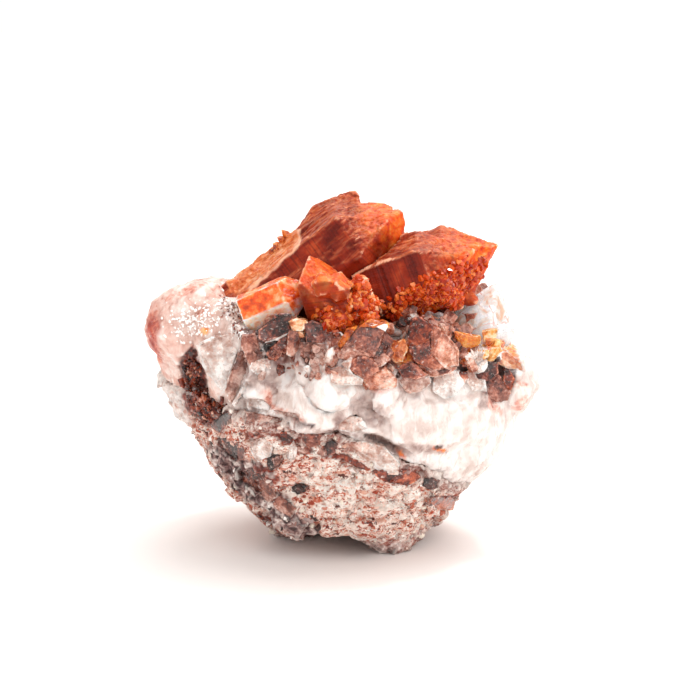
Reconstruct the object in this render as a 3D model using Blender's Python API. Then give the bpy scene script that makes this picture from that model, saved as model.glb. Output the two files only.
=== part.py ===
"""A hand specimen of quartz: hematite-red crystals standing on milky vein quartz and its host rock.

Every length below is in millimetres, and new_object() turns the finished meshes to metres.
+X is to the right, +Y to the back and +Z up. The origin is on the surface that the specimen
stands on, under the middle of its bounding box.
"""

import math
import random

import bmesh
import bpy
from mathutils import Matrix, Quaternion, Vector, noise
from mathutils.bvhtree import BVHTree

METRES_PER_MM = 0.001
CLEARANCE = 0.35  # kept between two pieces that grew against each other
FAR = 90.0  # further out than anything on the specimen
CENTRING = Vector((-0.05, 0.32, 0))  # brings the middle of the bounding box over the origin

# The rock's outline at each height: (height, left, right, front, back).
SECTIONS = (
    (-1.5, -10.6, 14.5, -13.0, 16.0),
    (3.0, -13.2, 16.8, -15.5, 18.0),
    (8.0, -18.8, 19.6, -18.0, 21.0),
    (13.0, -21.6, 24.4, -21.0, 23.5),
    (18.0, -25.0, 28.0, -23.2, 25.0),
    (23.0, -29.8, 30.6, -25.0, 26.2),
    (27.0, -31.4, 33.6, -26.4, 27.0),
    (30.0, -32.2, 34.8, -27.0, 26.8),
    (34.0, -33.0, 32.4, -26.6, 26.0),
    (38.0, -32.0, 29.6, -24.2, 23.6),
    (41.0, -28.0, 25.8, -20.0, 19.0),
    (43.0, -22.0, 19.5, -14.5, 13.5),
)
RING_STEP = 2.4  # between two rings of the rock's mesh
COLUMNS = 44
CAP_SHARES = (0.8, 0.58, 0.34)  # of the last ring, where the caps are filled in
TOP_CROWN = 0.8
SQUARENESS = 2.4  # of a section: 2 is an ellipse, and more is squarer

# Broken faces that the rock was struck off along: (azimuth, elevation, distance from ROCK_HEART).
ROCK_HEART = Vector((0, 0, 24))
CHIPS = (
    (-95, -20, 21.8),
    (-60, -26, 24.0),
    (-140, -16, 24.0),
    (184, -34, 25.0),
    (-12, -30, 27.6),
    (-68, 12, 24.8),
    (-118, 14, 25.2),
    (-25, 10, 30.0),
    (35, -24, 26.5),
    (88, -26, 23.0),
    (140, -22, 25.5),
    (60, 18, 25.5),
    (115, 20, 26.0),
    (160, 8, 30.5),
)
LUMPS = ((15.0, 1.2), (6.0, 0.75))  # (size, depth) of the unevenness between the broken faces
NOISE_SEED = 4

# What touches the ground, as (x, y), and how the underside rises between those feet.
FEET = ((-8.6, 1.5), (9.3, -9.0), (10.5, 12.0), (-7.0, 13.0))
FOOT_RADIUS = 3.4
FOOT_DEPTH = 0.7  # cut off flat below the ground
ARCH_SLOPE, ARCH_HEIGHT = 0.65, 4.4

# Where the host rock ends and the vein quartz begins.
CONTACT_HEIGHT = 25.5
CONTACT_TILT, CONTACT_FRONT = Vector((-0.10, 0.06)), -24.0
CONTACT_DROP, CONTACT_DROP_FROM = 0.012, -10.0
CONTACT_WAVES = ((11.0, 1.6), (5.0, 0.6))
CONTACT_LOWEST = -4.0
CONTACT_STEP = 5.4
CONTACT_REACH = 46.0

# Quartz: its end faces lean this far from the long axis.
RHOMB_TILT = math.radians(51.8)

# A small crystal stands this share of its length in the surface, and its faces are uneven: how
# far each is from the axis, as a share of the radius, and each end face, as a share of the length.
SUNK = 0.5
SIDE_SHARES = (0.72, 1.0)
TIP_SHARES = (0.86, 1.12)


# ---------------------------------------------------------------- meshes and objects


def new_collection(name, holds_cutters=False):
    collection = bpy.data.collections.new(name)
    bpy.context.scene.collection.children.link(collection)
    collection.hide_render = holds_cutters
    return collection


def new_object(name, bm, collection, material=None):
    """The object made of bm, whose lengths are millimetres until here."""
    bmesh.ops.recalc_face_normals(bm, faces=bm.faces[:])
    bm.transform(Matrix.Translation(CENTRING))
    bm.transform(Matrix.Scale(METRES_PER_MM, 4))
    mesh = bpy.data.meshes.new(name)
    bm.to_mesh(mesh)
    bm.free()
    if material:
        mesh.materials.append(material)
    made = bpy.data.objects.new(name, mesh)
    collection.objects.link(made)
    return made


def helper(name, bm, collection):
    """A cutter, or a shape that a Boolean joins to a piece."""
    made = new_object(name, bm, collection)
    made.hide_render = True
    made.display_type = "WIRE"
    return made


def boolean(target, operation, operand):
    modifier = target.modifiers.new(f"{operation.lower()} {operand.name}", "BOOLEAN")
    modifier.operation = operation
    # EXACT leaves open edges where so many small crystals overlap each other.
    modifier.solver = "MANIFOLD"
    if isinstance(operand, bpy.types.Collection):
        modifier.operand_type = "COLLECTION"
        modifier.collection = operand
    else:
        modifier.object = operand


def material(name, colour, roughness):
    made = bpy.data.materials.new(name)
    made.use_nodes = True
    shader = made.node_tree.nodes["Principled BSDF"]
    shader.inputs["Base Color"].default_value = (*colour, 1)
    shader.inputs["Roughness"].default_value = roughness
    shader.inputs["Metallic"].default_value = 0
    return made


def direction(azimuth, elevation):
    """A unit vector: azimuth in degrees from +X towards +Y, and elevation above the horizon."""
    a, e = math.radians(azimuth), math.radians(elevation)
    return Vector((math.cos(a) * math.cos(e), math.sin(a) * math.cos(e), math.sin(e)))


# ---------------------------------------------------------------- the rock


def section_at(height):
    """(left, right, front, back) of the rock's outline at a height."""
    for low, high in zip(SECTIONS, SECTIONS[1:]):
        if height <= high[0]:
            share = (height - low[0]) / (high[0] - low[0])
            return [a + (b - a) * share for a, b in zip(low[1:], high[1:])]
    return list(SECTIONS[-1][1:])


def ring_point(height, angle, share=1.0):
    """A point of the outline at that height, or nearer its middle for a share under 1."""
    left, right, front, back = section_at(height)
    c, s = math.cos(angle), math.sin(angle)
    reach = share * (abs(c) ** SQUARENESS + abs(s) ** SQUARENESS) ** (-1 / SQUARENESS)
    middle = Vector(((left + right) / 2, (front + back) / 2, height))
    return middle + Vector(((right - left) / 2 * reach * c, (back - front) / 2 * reach * s, 0))


def chipped(point):
    """The point, moved in to each broken face that it stands proud of."""
    for azimuth, elevation, distance in CHIPS:
        normal = direction(azimuth, elevation)
        proud = (point - ROCK_HEART).dot(normal) - distance
        if proud > 0:
            point = point - normal * proud
    return point


def lumpy(point):
    for size, depth in LUMPS:
        point = point + noise.noise_vector(point / size) * depth
    return point


def arched(point):
    """The point, raised to the underside, which meets the ground only at the feet."""
    nearest = min((Vector(foot) - point.xy).length for foot in FEET)
    arch = min((nearest - FOOT_RADIUS) * ARCH_SLOPE, ARCH_HEIGHT)
    return Vector((point.x, point.y, max(point.z, arch, -FOOT_DEPTH)))


def rock_bmesh():
    """The whole rock, as rings from the bottom to the top with both ends filled in."""
    low, high = SECTIONS[0][0], SECTIONS[-1][0]
    count = round((high - low) / RING_STEP)
    rows = [(low, share) for share in reversed(CAP_SHARES)]
    rows += [(low + (high - low) * i / count, 1.0) for i in range(count + 1)]
    rows += [(high + TOP_CROWN * (1 - share), share) for share in CAP_SHARES]
    bm = bmesh.new()
    rings = []
    for height, share in rows:
        ring = []
        for column in range(COLUMNS):
            point = ring_point(min(height, high), math.tau * column / COLUMNS, share)
            point.z = height
            ring.append(bm.verts.new(arched(lumpy(chipped(point)))))
        rings.append(ring)
    for lower, upper in zip(rings, rings[1:]):
        for i in range(COLUMNS):
            j = (i + 1) % COLUMNS
            bm.faces.new((lower[i], lower[j], upper[j], upper[i]))
    for ring in (rings[0], rings[-1]):
        middle = bm.verts.new(sum((v.co for v in ring), Vector()) / COLUMNS)
        for i in range(COLUMNS):
            bm.faces.new((ring[i], ring[(i + 1) % COLUMNS], middle))
    bmesh.ops.recalc_face_normals(bm, faces=bm.faces[:])
    return bm


def contact_height(x, y):
    """How high the host rock reaches inside the specimen."""
    drop = CONTACT_DROP * max(0.0, x - CONTACT_DROP_FROM) ** 2
    height = CONTACT_HEIGHT + CONTACT_TILT.x * x + CONTACT_TILT.y * (y - CONTACT_FRONT) - drop
    for size, depth in CONTACT_WAVES:
        height += depth * noise.noise(Vector((x, y, 0)) / size)
    return max(height, CONTACT_LOWEST)


def contact_block(name, collection, up):
    """Everything above the contact, or below it, as one block with the contact as its side."""
    bm = bmesh.new()
    steps = round(2 * CONTACT_REACH / CONTACT_STEP)
    bmesh.ops.create_grid(bm, x_segments=steps, y_segments=steps, size=CONTACT_REACH)
    sheet = bm.faces[:]
    sign = 1 if up else -1
    for vertex in bm.verts:
        vertex.co.z = contact_height(vertex.co.x, vertex.co.y) + sign * CLEARANCE / 2
    out = bmesh.ops.extrude_face_region(bm, geom=sheet)
    for vertex in (g for g in out["geom"] if isinstance(g, bmesh.types.BMVert)):
        vertex.co.z = sign * FAR
    return helper(name, bm, collection)


# ---------------------------------------------------------------- crystals


class Crystal:
    """One quartz crystal: a six-sided prism along its long axis, with six end faces.

    Seen from the front, rise is the angle of the axis above +X and toward how far it leans to
    the viewer, both in degrees. Face 0 is the prism face nearest the viewer and the others
    follow round, over the top where the axis lies flat. spin turns them all. across is how far
    each prism face is from the axis, and tips how far from the root each end face meets it.
    """

    def __init__(self, root, rise, toward, spin, across, tips):
        r, t = math.radians(rise), math.radians(toward)
        self.root = Vector(root)
        self.axis = Vector((math.cos(r) * math.cos(t), -math.sin(t), math.sin(r) * math.cos(t)))
        self.spin = spin
        self.across = across
        self.tips = tips

    @classmethod
    def on(cls, point, axis, radius, length, rng):
        """A small crystal standing on a surface, with uneven faces."""
        made = cls(point, 0, 0, rng.uniform(0, 60), (), ())
        made.axis = axis.normalized()
        made.root = point - made.axis * length * SUNK
        made.across = [radius * rng.uniform(*SIDE_SHARES) for _ in range(6)]
        made.tips = [length * (1 + SUNK) * rng.uniform(*TIP_SHARES) for _ in range(6)]
        return made

    def side(self, k):
        """The outward normal of prism face k."""
        viewer = Vector((0, -1, 0)) if abs(self.axis.y) < 0.9 else Vector((0, 0, 1))
        front = (viewer - self.axis * viewer.dot(self.axis)).normalized()
        return Quaternion(self.axis, -math.radians(60 * k + self.spin)) @ front

    def planes(self, grow):
        """(normal, distance from the root) of every face."""
        yield -self.axis, grow
        for k, (across, tip) in enumerate(zip(self.across, self.tips)):
            side = self.side(k)
            yield side, across + grow
            end = self.axis * math.cos(RHOMB_TILT) + side * math.sin(RHOMB_TILT)
            yield end, tip * math.cos(RHOMB_TILT) + grow

    def bmesh(self, grow=0.0):
        """A block cut down by each face in turn, with every face grow further out."""
        bm = bmesh.new()
        bmesh.ops.create_cube(bm, size=4 * max(max(self.tips), max(self.across)))
        for normal, distance in self.planes(grow):
            cut = bmesh.ops.bisect_plane(
                bm,
                geom=bm.verts[:] + bm.edges[:] + bm.faces[:],
                plane_co=normal * distance,
                plane_no=normal,
                clear_outer=True,
            )
            rim = [g for g in cut["geom_cut"] if isinstance(g, bmesh.types.BMEdge)]
            if rim:
                bmesh.ops.contextual_create(bm, geom=rim)
        bmesh.ops.remove_doubles(bm, verts=bm.verts[:], dist=0.01)
        bm.transform(Matrix.Translation(self.root))
        return bm


def crust_on(crystal, face, along, size, count, seed):
    """Small crystals grown on one prism face of a large one, between two places along it."""
    rng = random.Random(seed)
    side = crystal.side(face)
    sideways = crystal.axis.cross(side)
    made = []
    for _ in range(count):
        foot = crystal.root + crystal.axis * rng.uniform(*along)
        foot += side * (crystal.across[face] - CRUST_SUNK)
        foot += sideways * crystal.across[face] * rng.uniform(-CRUST_WIDTH, CRUST_WIDTH)
        lean = side + crystal.axis * rng.uniform(*CRUST_FORWARD) + sideways * rng.uniform(*CRUST_SIDEWAYS)
        radius = rng.uniform(*size)
        made.append(Crystal.on(foot, lean, radius, radius * rng.uniform(*CRUST_LENGTH), rng))
    return made


# The large crystals. Those in one group grew side by side and are one solid.
LEFT_FRONT = Crystal(
    root=(-15.9, -2.6, 38.8), rise=39.5, toward=4, spin=25,
    across=(7.5, 7.5, 7.2, 7.5, 7.2, 7.4), tips=(35.2, 34.6, 36.0, 35.0, 36.0, 34.4),
)
LEFT_MIDDLE = Crystal(
    root=(-15.8, 1.2, 40.3), rise=39.5, toward=4, spin=8,
    across=(6.8, 7.1, 7.0, 6.6, 6.4, 6.6), tips=(33.0, 32.0, 33.4, 33.8, 32.6, 31.8),
)
LEFT_BACK = Crystal(
    root=(-10.8, 3.2, 41.0), rise=58, toward=2, spin=-19,
    across=(6.0, 5.7, 5.8, 6.2, 6.0, 6.0), tips=(26.2, 25.6, 27.2, 27.0, 26.2, 25.8),
)
LEFT_SMALL = (
    Crystal(
        root=(-17.6, -0.6, 41.0), rise=80, toward=4, spin=12,
        across=(3.0, 2.8, 3.2, 3.0, 2.8, 3.0), tips=(10.6, 10.0, 10.4, 11.0, 10.0, 10.8),
    ),
    Crystal(
        root=(-20.4, -2.2, 40.0), rise=82, toward=8, spin=40,
        across=(2.6, 2.4, 2.8, 2.6, 2.4, 2.6), tips=(8.8, 9.2, 8.6, 9.0, 9.0, 8.6),
    ),
    Crystal(
        root=(-10.5, 4.5, 45.0), rise=100, toward=0, spin=20,
        across=(3.0, 2.8, 3.0, 3.2, 2.8, 3.0), tips=(9.4, 8.8, 9.2, 9.0, 9.0, 8.8),
    ),
)
CENTRE = Crystal(
    root=(2.3, -14.4, 36.6), rise=107, toward=4, spin=36,
    across=(6.2, 5.4, 5.0, 5.4, 5.6, 5.8), tips=(24.0, 22.4, 22.0, 19.4, 15.6, 18.2),
)
RIGHT_FRONT = Crystal(
    root=(3.0, -5.8, 45.4), rise=22, toward=6, spin=10,
    across=(6.7, 6.7, 6.4, 6.4, 6.2, 6.5), tips=(22.4, 22.0, 22.8, 23.2, 21.8, 21.4),
)
RIGHT_BACK = Crystal(
    root=(5.4, 0.0, 44.9), rise=22.5, toward=6, spin=12,
    across=(6.2, 6.5, 6.5, 6.2, 5.8, 6.0), tips=(24.4, 24.0, 25.2, 25.2, 24.4, 24.0),
)
SLAB = Crystal(
    root=(-17.0, -14.0, 43.4), rise=24, toward=0, spin=-30,
    across=(3.7, 3.6, 3.4, 3.6, 3.6, 3.5), tips=(13.0, 12.4, 13.6, 13.0, 12.6, 13.2),
)
CLEAR = Crystal(
    root=(21.6, -0.5, 33.0), rise=66, toward=-4, spin=14,
    across=(5.9, 5.6, 5.4, 5.8, 5.6, 5.8), tips=(15.6, 14.6, 15.4, 15.6, 16.0, 15.2),
)
BACK_TALL = Crystal(
    root=(4.0, 7.0, 39.6), rise=80, toward=-36, spin=10,
    across=(4.8, 4.5, 4.6, 4.8, 4.4, 4.7), tips=(17.4, 16.4, 17.0, 17.6, 16.6, 17.2),
)
BACK_SHORT = Crystal(
    root=(-1.0, 8.6, 39.6), rise=112, toward=-34, spin=34,
    across=(4.0, 3.8, 3.6, 4.0, 3.7, 3.8), tips=(13.6, 13.0, 13.4, 13.8, 12.8, 13.2),
)

# Crusts of small crystals on one face of a large one: (crystal, face, from and to along it, size,
# count, seed).
CENTRE_CRUSTS = (
    (CENTRE, 5, (5.0, 15.0), (1.5, 2.6), 11, 21),
    (CENTRE, 0, (4.5, 8.5), (1.6, 2.6), 6, 3),
)
RIGHT_CRUSTS = (
    (RIGHT_FRONT, 5, (3.0, 17.0), (1.1, 2.0), 20, 4),
    (RIGHT_BACK, 5, (11.0, 17.0), (1.1, 1.8), 6, 24),
)
CRUST_SUNK = 0.3  # how deep the feet of a crust's crystals are
CRUST_WIDTH = 0.55  # how far they reach to each side of the face's middle, as a share of its distance
CRUST_FORWARD, CRUST_SIDEWAYS = (-0.2, 0.6), (-0.5, 0.5)  # how far they lean
CRUST_LENGTH = (1.0, 1.7)  # for a radius of 1

# The largest crystals of the druse on the front of the vein:
# (x, z, radius, length, rise, toward).
DRUSE_FRONT = (
    (-12.4, 38.4, 3.6, 5.5, 62, 20),
    (-7.6, 40.4, 3.2, 4.6, 108, 26),
    (-1.6, 38.6, 3.6, 5.2, 80, 34),
    (4.6, 39.6, 4.6, 5.6, 52, 18),
    (14.8, 38.2, 4.8, 7.0, 74, 16),
    (10.4, 34.6, 4.0, 4.4, 66, 40),
    (22.0, 35.6, 3.6, 4.6, 50, 30),
)
DRUSE_SIZE = (1.9, 3.6)  # of the others, which are scattered
DRUSE_LENGTH = 1.4  # for a radius of 1
DRUSE_LEAN = 0.35
DRUSE_OUTWARD = 0.6  # how much those on the front follow the surface's normal, against upright
DRUSE_FRONT_COUNT, DRUSE_FRONT_BOX = 24, (-19.0, 26.0, 31.0, 42.0)  # left, right, low, high
DRUSE_TOP_COUNT, DRUSE_TOP_BOX = 58, (-27.0, 27.0, -16.0, 21.0)  # left, right, front, back
DRUSE_TOP_LOWEST, DRUSE_TOP_STEEPEST = 34.0, 0.25  # height, and upward part of the normal
DRUSE_SEED = 19

# Frosted knobs of the vein: (centre, radius, seed).
KNOBS = (
    ((-26.6, -5.5, 40.2), 8.6, 3),
    ((-24.2, 3.5, 40.2), 8.4, 5),
    ((-20.5, -9.5, 40.8), 6.4, 9),
    ((29.6, -5.0, 29.6), 6.0, 12),
)
KNOB_FACETS = 16
KNOB_FACET_SHARES = (0.76, 0.9)  # distance of a facet from the middle, as a share of the radius
KNOB_NOISE_SIZE, KNOB_NOISE_DEPTH = 4.0, 0.5


def knob_bmesh(centre, radius, seed):
    """A rounded knob with a few flat broken faces."""
    rng = random.Random(seed)
    bm = bmesh.new()
    bmesh.ops.create_icosphere(bm, subdivisions=2, radius=radius)
    facets = []
    for _ in range(KNOB_FACETS):
        normal = Vector([rng.gauss(0, 1) for _ in range(3)]).normalized()
        facets.append((normal, radius * rng.uniform(*KNOB_FACET_SHARES)))
    for vertex in bm.verts:
        for normal, distance in facets:
            proud = vertex.co.dot(normal) - distance
            if proud > 0:
                vertex.co -= normal * proud
        vertex.co += noise.noise_vector(vertex.co / KNOB_NOISE_SIZE) * KNOB_NOISE_DEPTH
    bm.transform(Matrix.Translation(centre))
    return bm


def druse(surface):
    """The small crystals of the vein: chosen ones at the front, and others scattered about."""
    rng = random.Random(DRUSE_SEED)
    made = []
    for x, z, radius, length, rise, toward in DRUSE_FRONT:
        point = surface.ray_cast(Vector((x, -FAR, z)), Vector((0, 1, 0)))[0]
        axis = Crystal(point, rise, toward, 0, (), ()).axis
        made.append(Crystal.on(point, axis, radius, length, rng))
    left, right, low, high = DRUSE_FRONT_BOX
    for _ in range(DRUSE_FRONT_COUNT):
        start = Vector((rng.uniform(left, right), -FAR, rng.uniform(low, high)))
        point, normal, _, _ = surface.ray_cast(start, Vector((0, 1, 0)))
        lean = Vector((rng.gauss(0, DRUSE_LEAN), rng.gauss(0, DRUSE_LEAN), 1))
        radius = rng.uniform(*DRUSE_SIZE)
        made.append(Crystal.on(point, normal * DRUSE_OUTWARD + lean, radius, radius * DRUSE_LENGTH, rng))
    left, right, front, back = DRUSE_TOP_BOX
    for _ in range(DRUSE_TOP_COUNT):
        start = Vector((rng.uniform(left, right), rng.uniform(front, back), FAR))
        point, normal, _, _ = surface.ray_cast(start, Vector((0, 0, -1)))
        lean = Vector((rng.gauss(0, DRUSE_LEAN), rng.gauss(0, DRUSE_LEAN), 1))
        radius = rng.uniform(*DRUSE_SIZE)
        if point and point.z > DRUSE_TOP_LOWEST and normal.z > DRUSE_TOP_STEEPEST:
            made.append(Crystal.on(point, normal + lean, radius, radius * DRUSE_LENGTH, rng))
    return made


# ---------------------------------------------------------------- the specimen


def grown(name, crystals):
    """A collection of cutters: these crystals with every face moved out by the clearance."""
    collection = new_collection(name, holds_cutters=True)
    for i, crystal in enumerate(crystals):
        helper(f"{name} {i}", crystal.bmesh(CLEARANCE), collection)
    return collection


def crystal_piece(name, crystals, finish, collection, earlier):
    """One node: crystals grown into each other, cut back by what stood there before them."""
    piece = new_object(name, crystals[0].bmesh(), collection, finish)
    if len(crystals) > 1:
        joined = new_collection(f"{name} joined", holds_cutters=True)
        for i, crystal in enumerate(crystals[1:]):
            helper(f"{name} joined {i}", crystal.bmesh(), joined)
        boolean(piece, "UNION", joined)
    for cutters in earlier:
        boolean(piece, "DIFFERENCE", cutters)
    return grown(f"{name} grown", crystals)


def main():
    for old in list(bpy.data.objects):
        bpy.data.objects.remove(old)
    noise.seed_set(NOISE_SEED)
    specimen = new_collection("quartz specimen")
    shapes = new_collection("shapes", holds_cutters=True)

    red = material("hematite quartz", (0.47, 0.10, 0.05), 0.45)
    orange = material("orange quartz", (0.75, 0.22, 0.06), 0.4)
    milky = material("milky quartz", (0.84, 0.76, 0.72), 0.35)
    clear = material("clear quartz", (0.90, 0.80, 0.76), 0.15)
    rock = material("host rock", (0.55, 0.38, 0.33), 0.8)

    centre_crust = [small for crust in CENTRE_CRUSTS for small in crust_on(*crust)]
    right_crust = [small for crust in RIGHT_CRUSTS for small in crust_on(*crust)]
    earlier = []
    for name, crystals, finish in (
        ("red_crystals_left", (LEFT_FRONT, LEFT_MIDDLE, LEFT_BACK, *LEFT_SMALL), red),
        ("red_crystal_centre", (CENTRE, *centre_crust), red),
        ("red_crystals_right", (RIGHT_FRONT, RIGHT_BACK, *right_crust), red),
        ("orange_crystal", (SLAB,), orange),
        ("clear_crystal", (CLEAR,), clear),
        ("orange_crystals_back", (BACK_TALL, BACK_SHORT), orange),
    ):
        earlier.append(crystal_piece(name, crystals, finish, specimen, list(earlier)))

    rock_shape = rock_bmesh()
    surface = BVHTree.FromBMesh(rock_shape)
    vein = new_object("milky_quartz", rock_shape, specimen, milky)
    host = bpy.data.objects.new("host_rock", vein.data.copy())
    host.data.materials[0] = rock
    specimen.objects.link(host)

    boolean(vein, "INTERSECT", contact_block("above the contact", shapes, up=True))
    growths = new_collection("growths on the vein", holds_cutters=True)
    for centre, radius, seed in KNOBS:
        helper(f"knob {seed}", knob_bmesh(centre, radius, seed), growths)
    for i, crystal in enumerate(druse(surface)):
        helper(f"druse {i}", crystal.bmesh(), growths)
    boolean(vein, "UNION", growths)
    for cutters in earlier:
        boolean(vein, "DIFFERENCE", cutters)

    boolean(host, "INTERSECT", contact_block("below the contact", shapes, up=False))
    ground = bmesh.new()
    bmesh.ops.create_cube(ground, size=2 * FAR)
    bmesh.ops.translate(ground, verts=ground.verts[:], vec=(0, 0, -FAR))
    boolean(host, "DIFFERENCE", helper("ground", ground, shapes))


main()
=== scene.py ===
# %% [markdown]
# # Quartz on its host rock
#
# A hand specimen is what a collector breaks off around a group of crystals. This one has four
# layers, from the bottom up: broken host rock, milky vein quartz, a druse of small smoky crystals,
# and large crystals that hematite stains red. The solids of all eight pieces are loaded first, and
# each fine piece below takes its size and place from the solid that it stands for.

# %% Load the solids
import itertools
import math
from functools import partial

import bmesh
import bpy
import numpy as np
from mathutils import Matrix, Vector
from mathutils.bvhtree import BVHTree


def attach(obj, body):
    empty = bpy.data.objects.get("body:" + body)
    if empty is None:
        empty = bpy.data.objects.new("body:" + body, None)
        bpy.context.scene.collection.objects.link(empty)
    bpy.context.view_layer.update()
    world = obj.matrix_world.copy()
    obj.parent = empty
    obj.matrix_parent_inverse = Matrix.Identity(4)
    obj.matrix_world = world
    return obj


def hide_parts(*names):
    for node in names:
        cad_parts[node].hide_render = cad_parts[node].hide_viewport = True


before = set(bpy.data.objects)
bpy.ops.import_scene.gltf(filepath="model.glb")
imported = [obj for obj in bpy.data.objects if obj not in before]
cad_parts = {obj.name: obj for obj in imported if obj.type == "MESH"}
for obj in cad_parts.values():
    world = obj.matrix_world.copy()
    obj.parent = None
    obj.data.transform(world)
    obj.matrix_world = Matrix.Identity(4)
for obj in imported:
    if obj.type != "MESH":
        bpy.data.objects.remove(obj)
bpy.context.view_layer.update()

MM = 0.001
print("solids:", ", ".join(sorted(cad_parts)))

# %% [markdown]
# ## Camera and light
#
# The specimen stands on a white sweep, as in a light box. The camera looks down on it a little.
# Light comes from all round, more of it from the right, the back and the top. A large soft lamp
# hangs above, a small one beside it gives the glints and an edge to the shadow, and a third one
# lightens the front from the right.

# %% Camera
CAMERA_ELEVATION = math.radians(11)
CAMERA_DISTANCE = 348 * MM
CAMERA_AIM = Vector((1.25, -2.68, 35.3)) * MM
CAMERA_LENS = 100

camera = bpy.data.objects.new("camera", bpy.data.cameras.new("camera"))
bpy.context.scene.collection.objects.link(camera)
camera.data.lens = CAMERA_LENS
toward_camera = Vector((0, -math.cos(CAMERA_ELEVATION), math.sin(CAMERA_ELEVATION)))
camera.location = CAMERA_AIM + toward_camera * CAMERA_DISTANCE
camera.rotation_euler = toward_camera.to_track_quat("Z", "Y").to_euler()
bpy.context.scene.camera = camera
bpy.context.scene.view_settings.view_transform = "Standard"

# %% [markdown]
# ## Colours and nodes
#
# Colours are sRGB hex values, as a paint chart gives them, and one function turns them to linear
# light. A material is a tree of nodes. One function adds a node with its settings and links, and
# a table says which of Blender's nodes each kind is, and which inputs its values go to.

# %% Colours and nodes
KINDS = {  # Blender's node, the inputs in the order of the values, the output, and settings
    "direction": ("TexCoord", (), "Generated", {}),
    "place": ("TexCoord", (), "Object", {}),
    "stored": ("Attribute", (), "Fac", {}),  # what Piece.store() left on the points
    "stored place": ("Attribute", (), "Vector", {}),
    "dot": ("VectorMath", (0, 1), "Value", {"operation": "DOT_PRODUCT"}),
    "stretch": ("VectorMath", (0, 1), 0, {"operation": "MULTIPLY"}),
    "bend": ("VectorMath", (0, 1, 2), 0, {"operation": "MULTIPLY_ADD"}),
    "turn": ("Mapping", ("Vector", "Rotation", "Scale"), 0, {}),
    "noise": ("TexNoise", ("Vector", "Scale", "Detail", "Roughness", "Distortion"), "Fac", {}),
    "noise colour": ("TexNoise", ("Vector", "Scale", "Detail"), "Color", {}),
    "lines": ("TexNoise", ("W", "Scale", "Detail"), "Fac", {"noise_dimensions": "1D"}),
    "cells": ("TexVoronoi", ("Vector", "Scale"), "Color", {}),
    "borders": ("TexVoronoi", ("Vector", "Scale"), "Distance", {"feature": "DISTANCE_TO_EDGE"}),
    "red part": ("SeparateColor", (0,), 0, {}),
    "mix": ("Mix", (0, 6, 7), 2, {"data_type": "RGBA"}),  # share, what it is at 0, and at 1
    "range": ("MapRange", (0, 1, 2, 3, 4), 0, {}),  # value, from low, from high, to low, to high
    "ramp": ("ValToRGB", (0, "LINEAR"), 0, {}),  # a colour for a value, and its stops
    "steps": ("ValToRGB", (0, "CONSTANT"), 0, {}),
    "bump": ("Bump", ("Height", "Distance", "Strength"), 0, {}),
    **{name: ("Math", (0, 1), 0, {"operation": name}) for name in ("ADD", "MULTIPLY", "MAXIMUM")},
    **{name: ("Math", (0,), 0, {"operation": name}) for name in ("FRACT", "FLOOR")},
}


def colour(hex_code):
    """The linear colour of an sRGB hex value."""
    parts = [int(hex_code[i : i + 2], 16) / 255 for i in (1, 3, 5)]
    return (*(c / 12.92 if c <= 0.04045 else ((c + 0.055) / 1.055) ** 2.4 for c in parts), 1)


def fill(node, values):
    """Links the sockets among the values to the inputs of the node, and sets the others."""
    for name, value in values.items():
        if isinstance(value, bpy.types.NodeSocket):
            node.id_data.links.new(value, node.inputs[name])
        elif name in ("LINEAR", "CONSTANT"):  # the stops of a ramp: position and hex colour
            node.color_ramp.interpolation = name
            elements = node.color_ramp.elements
            elements.remove(elements[-1])
            for i, (position, hex_code) in enumerate(value):
                element = elements[0] if i == 0 else elements.new(position)
                element.position, element.color = position, colour(hex_code)
        else:
            node.inputs[name].default_value = value


def add_node(tree, kind, *values, **settings):
    """Adds a node with its settings and links, and gives its output."""
    name, inputs, output, fixed = KINDS[kind]
    made = tree.nodes.new("ShaderNode" + name)
    for setting, value in {**fixed, **settings}.items():
        setattr(made, setting, value)
    fill(made, dict(zip(inputs, values)))
    return made.outputs[output]


# %% Light
BOX_FRONT = 0.7  # brightness of the light box behind the camera
BOX_BACK = 1.15
BRIGHT_SIDE = (0.45, 0.62, 0.64)  # the box is brightest at the right, the back and the top
LAMPS = {  # where it shines from, strength, and softness in degrees
    "lamp_above": ((0.22, 0.26, 0.94), 1.5, 50),
    "lamp_small": ((0.30, 0.20, 0.93), 0.4, 4),
    "lamp_front": ((0.45, -0.70, 0.55), 0.8, 45),
}

world = bpy.data.worlds.new("light box")
bpy.context.scene.world = world
world.use_nodes = True
add = partial(add_node, world.node_tree)
brightness = add("range", add("dot", add("direction"), BRIGHT_SIDE), -1, 1, BOX_FRONT, BOX_BACK)
fill(world.node_tree.nodes["Background"], {"Color": colour("#fffdfb"), "Strength": brightness})

for name, (comes_from, strength, softness) in LAMPS.items():
    lamp = bpy.data.objects.new(name, bpy.data.lights.new(name, "SUN"))
    lamp.data.energy = strength
    lamp.data.angle = math.radians(softness)
    lamp.rotation_euler = Vector(comes_from).to_track_quat("Z", "Y").to_euler()
    bpy.context.scene.collection.objects.link(lamp)

# %% White sweep
SWEEP_SIZE = 6.0

bpy.ops.mesh.primitive_plane_add(size=SWEEP_SIZE)
sweep = bpy.context.object
sweep.name = "white_sweep"
paper = bpy.data.materials.new("white paper, matt")
paper.use_nodes = True
fill(paper.node_tree.nodes["Principled BSDF"], {"Base Color": colour("#f6f1ee"), "Roughness": 0.7})
sweep.data.materials.append(paper)

# %% [markdown]
# ## Noise for stone
#
# Stone breaks into facets and grains, so two kinds of randomness are enough: a smooth one for
# waves and stains, and one of cells for grains and broken faces. Both are worked out for all the
# points of a mesh at once, and a seed makes them the same on each run.


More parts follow.
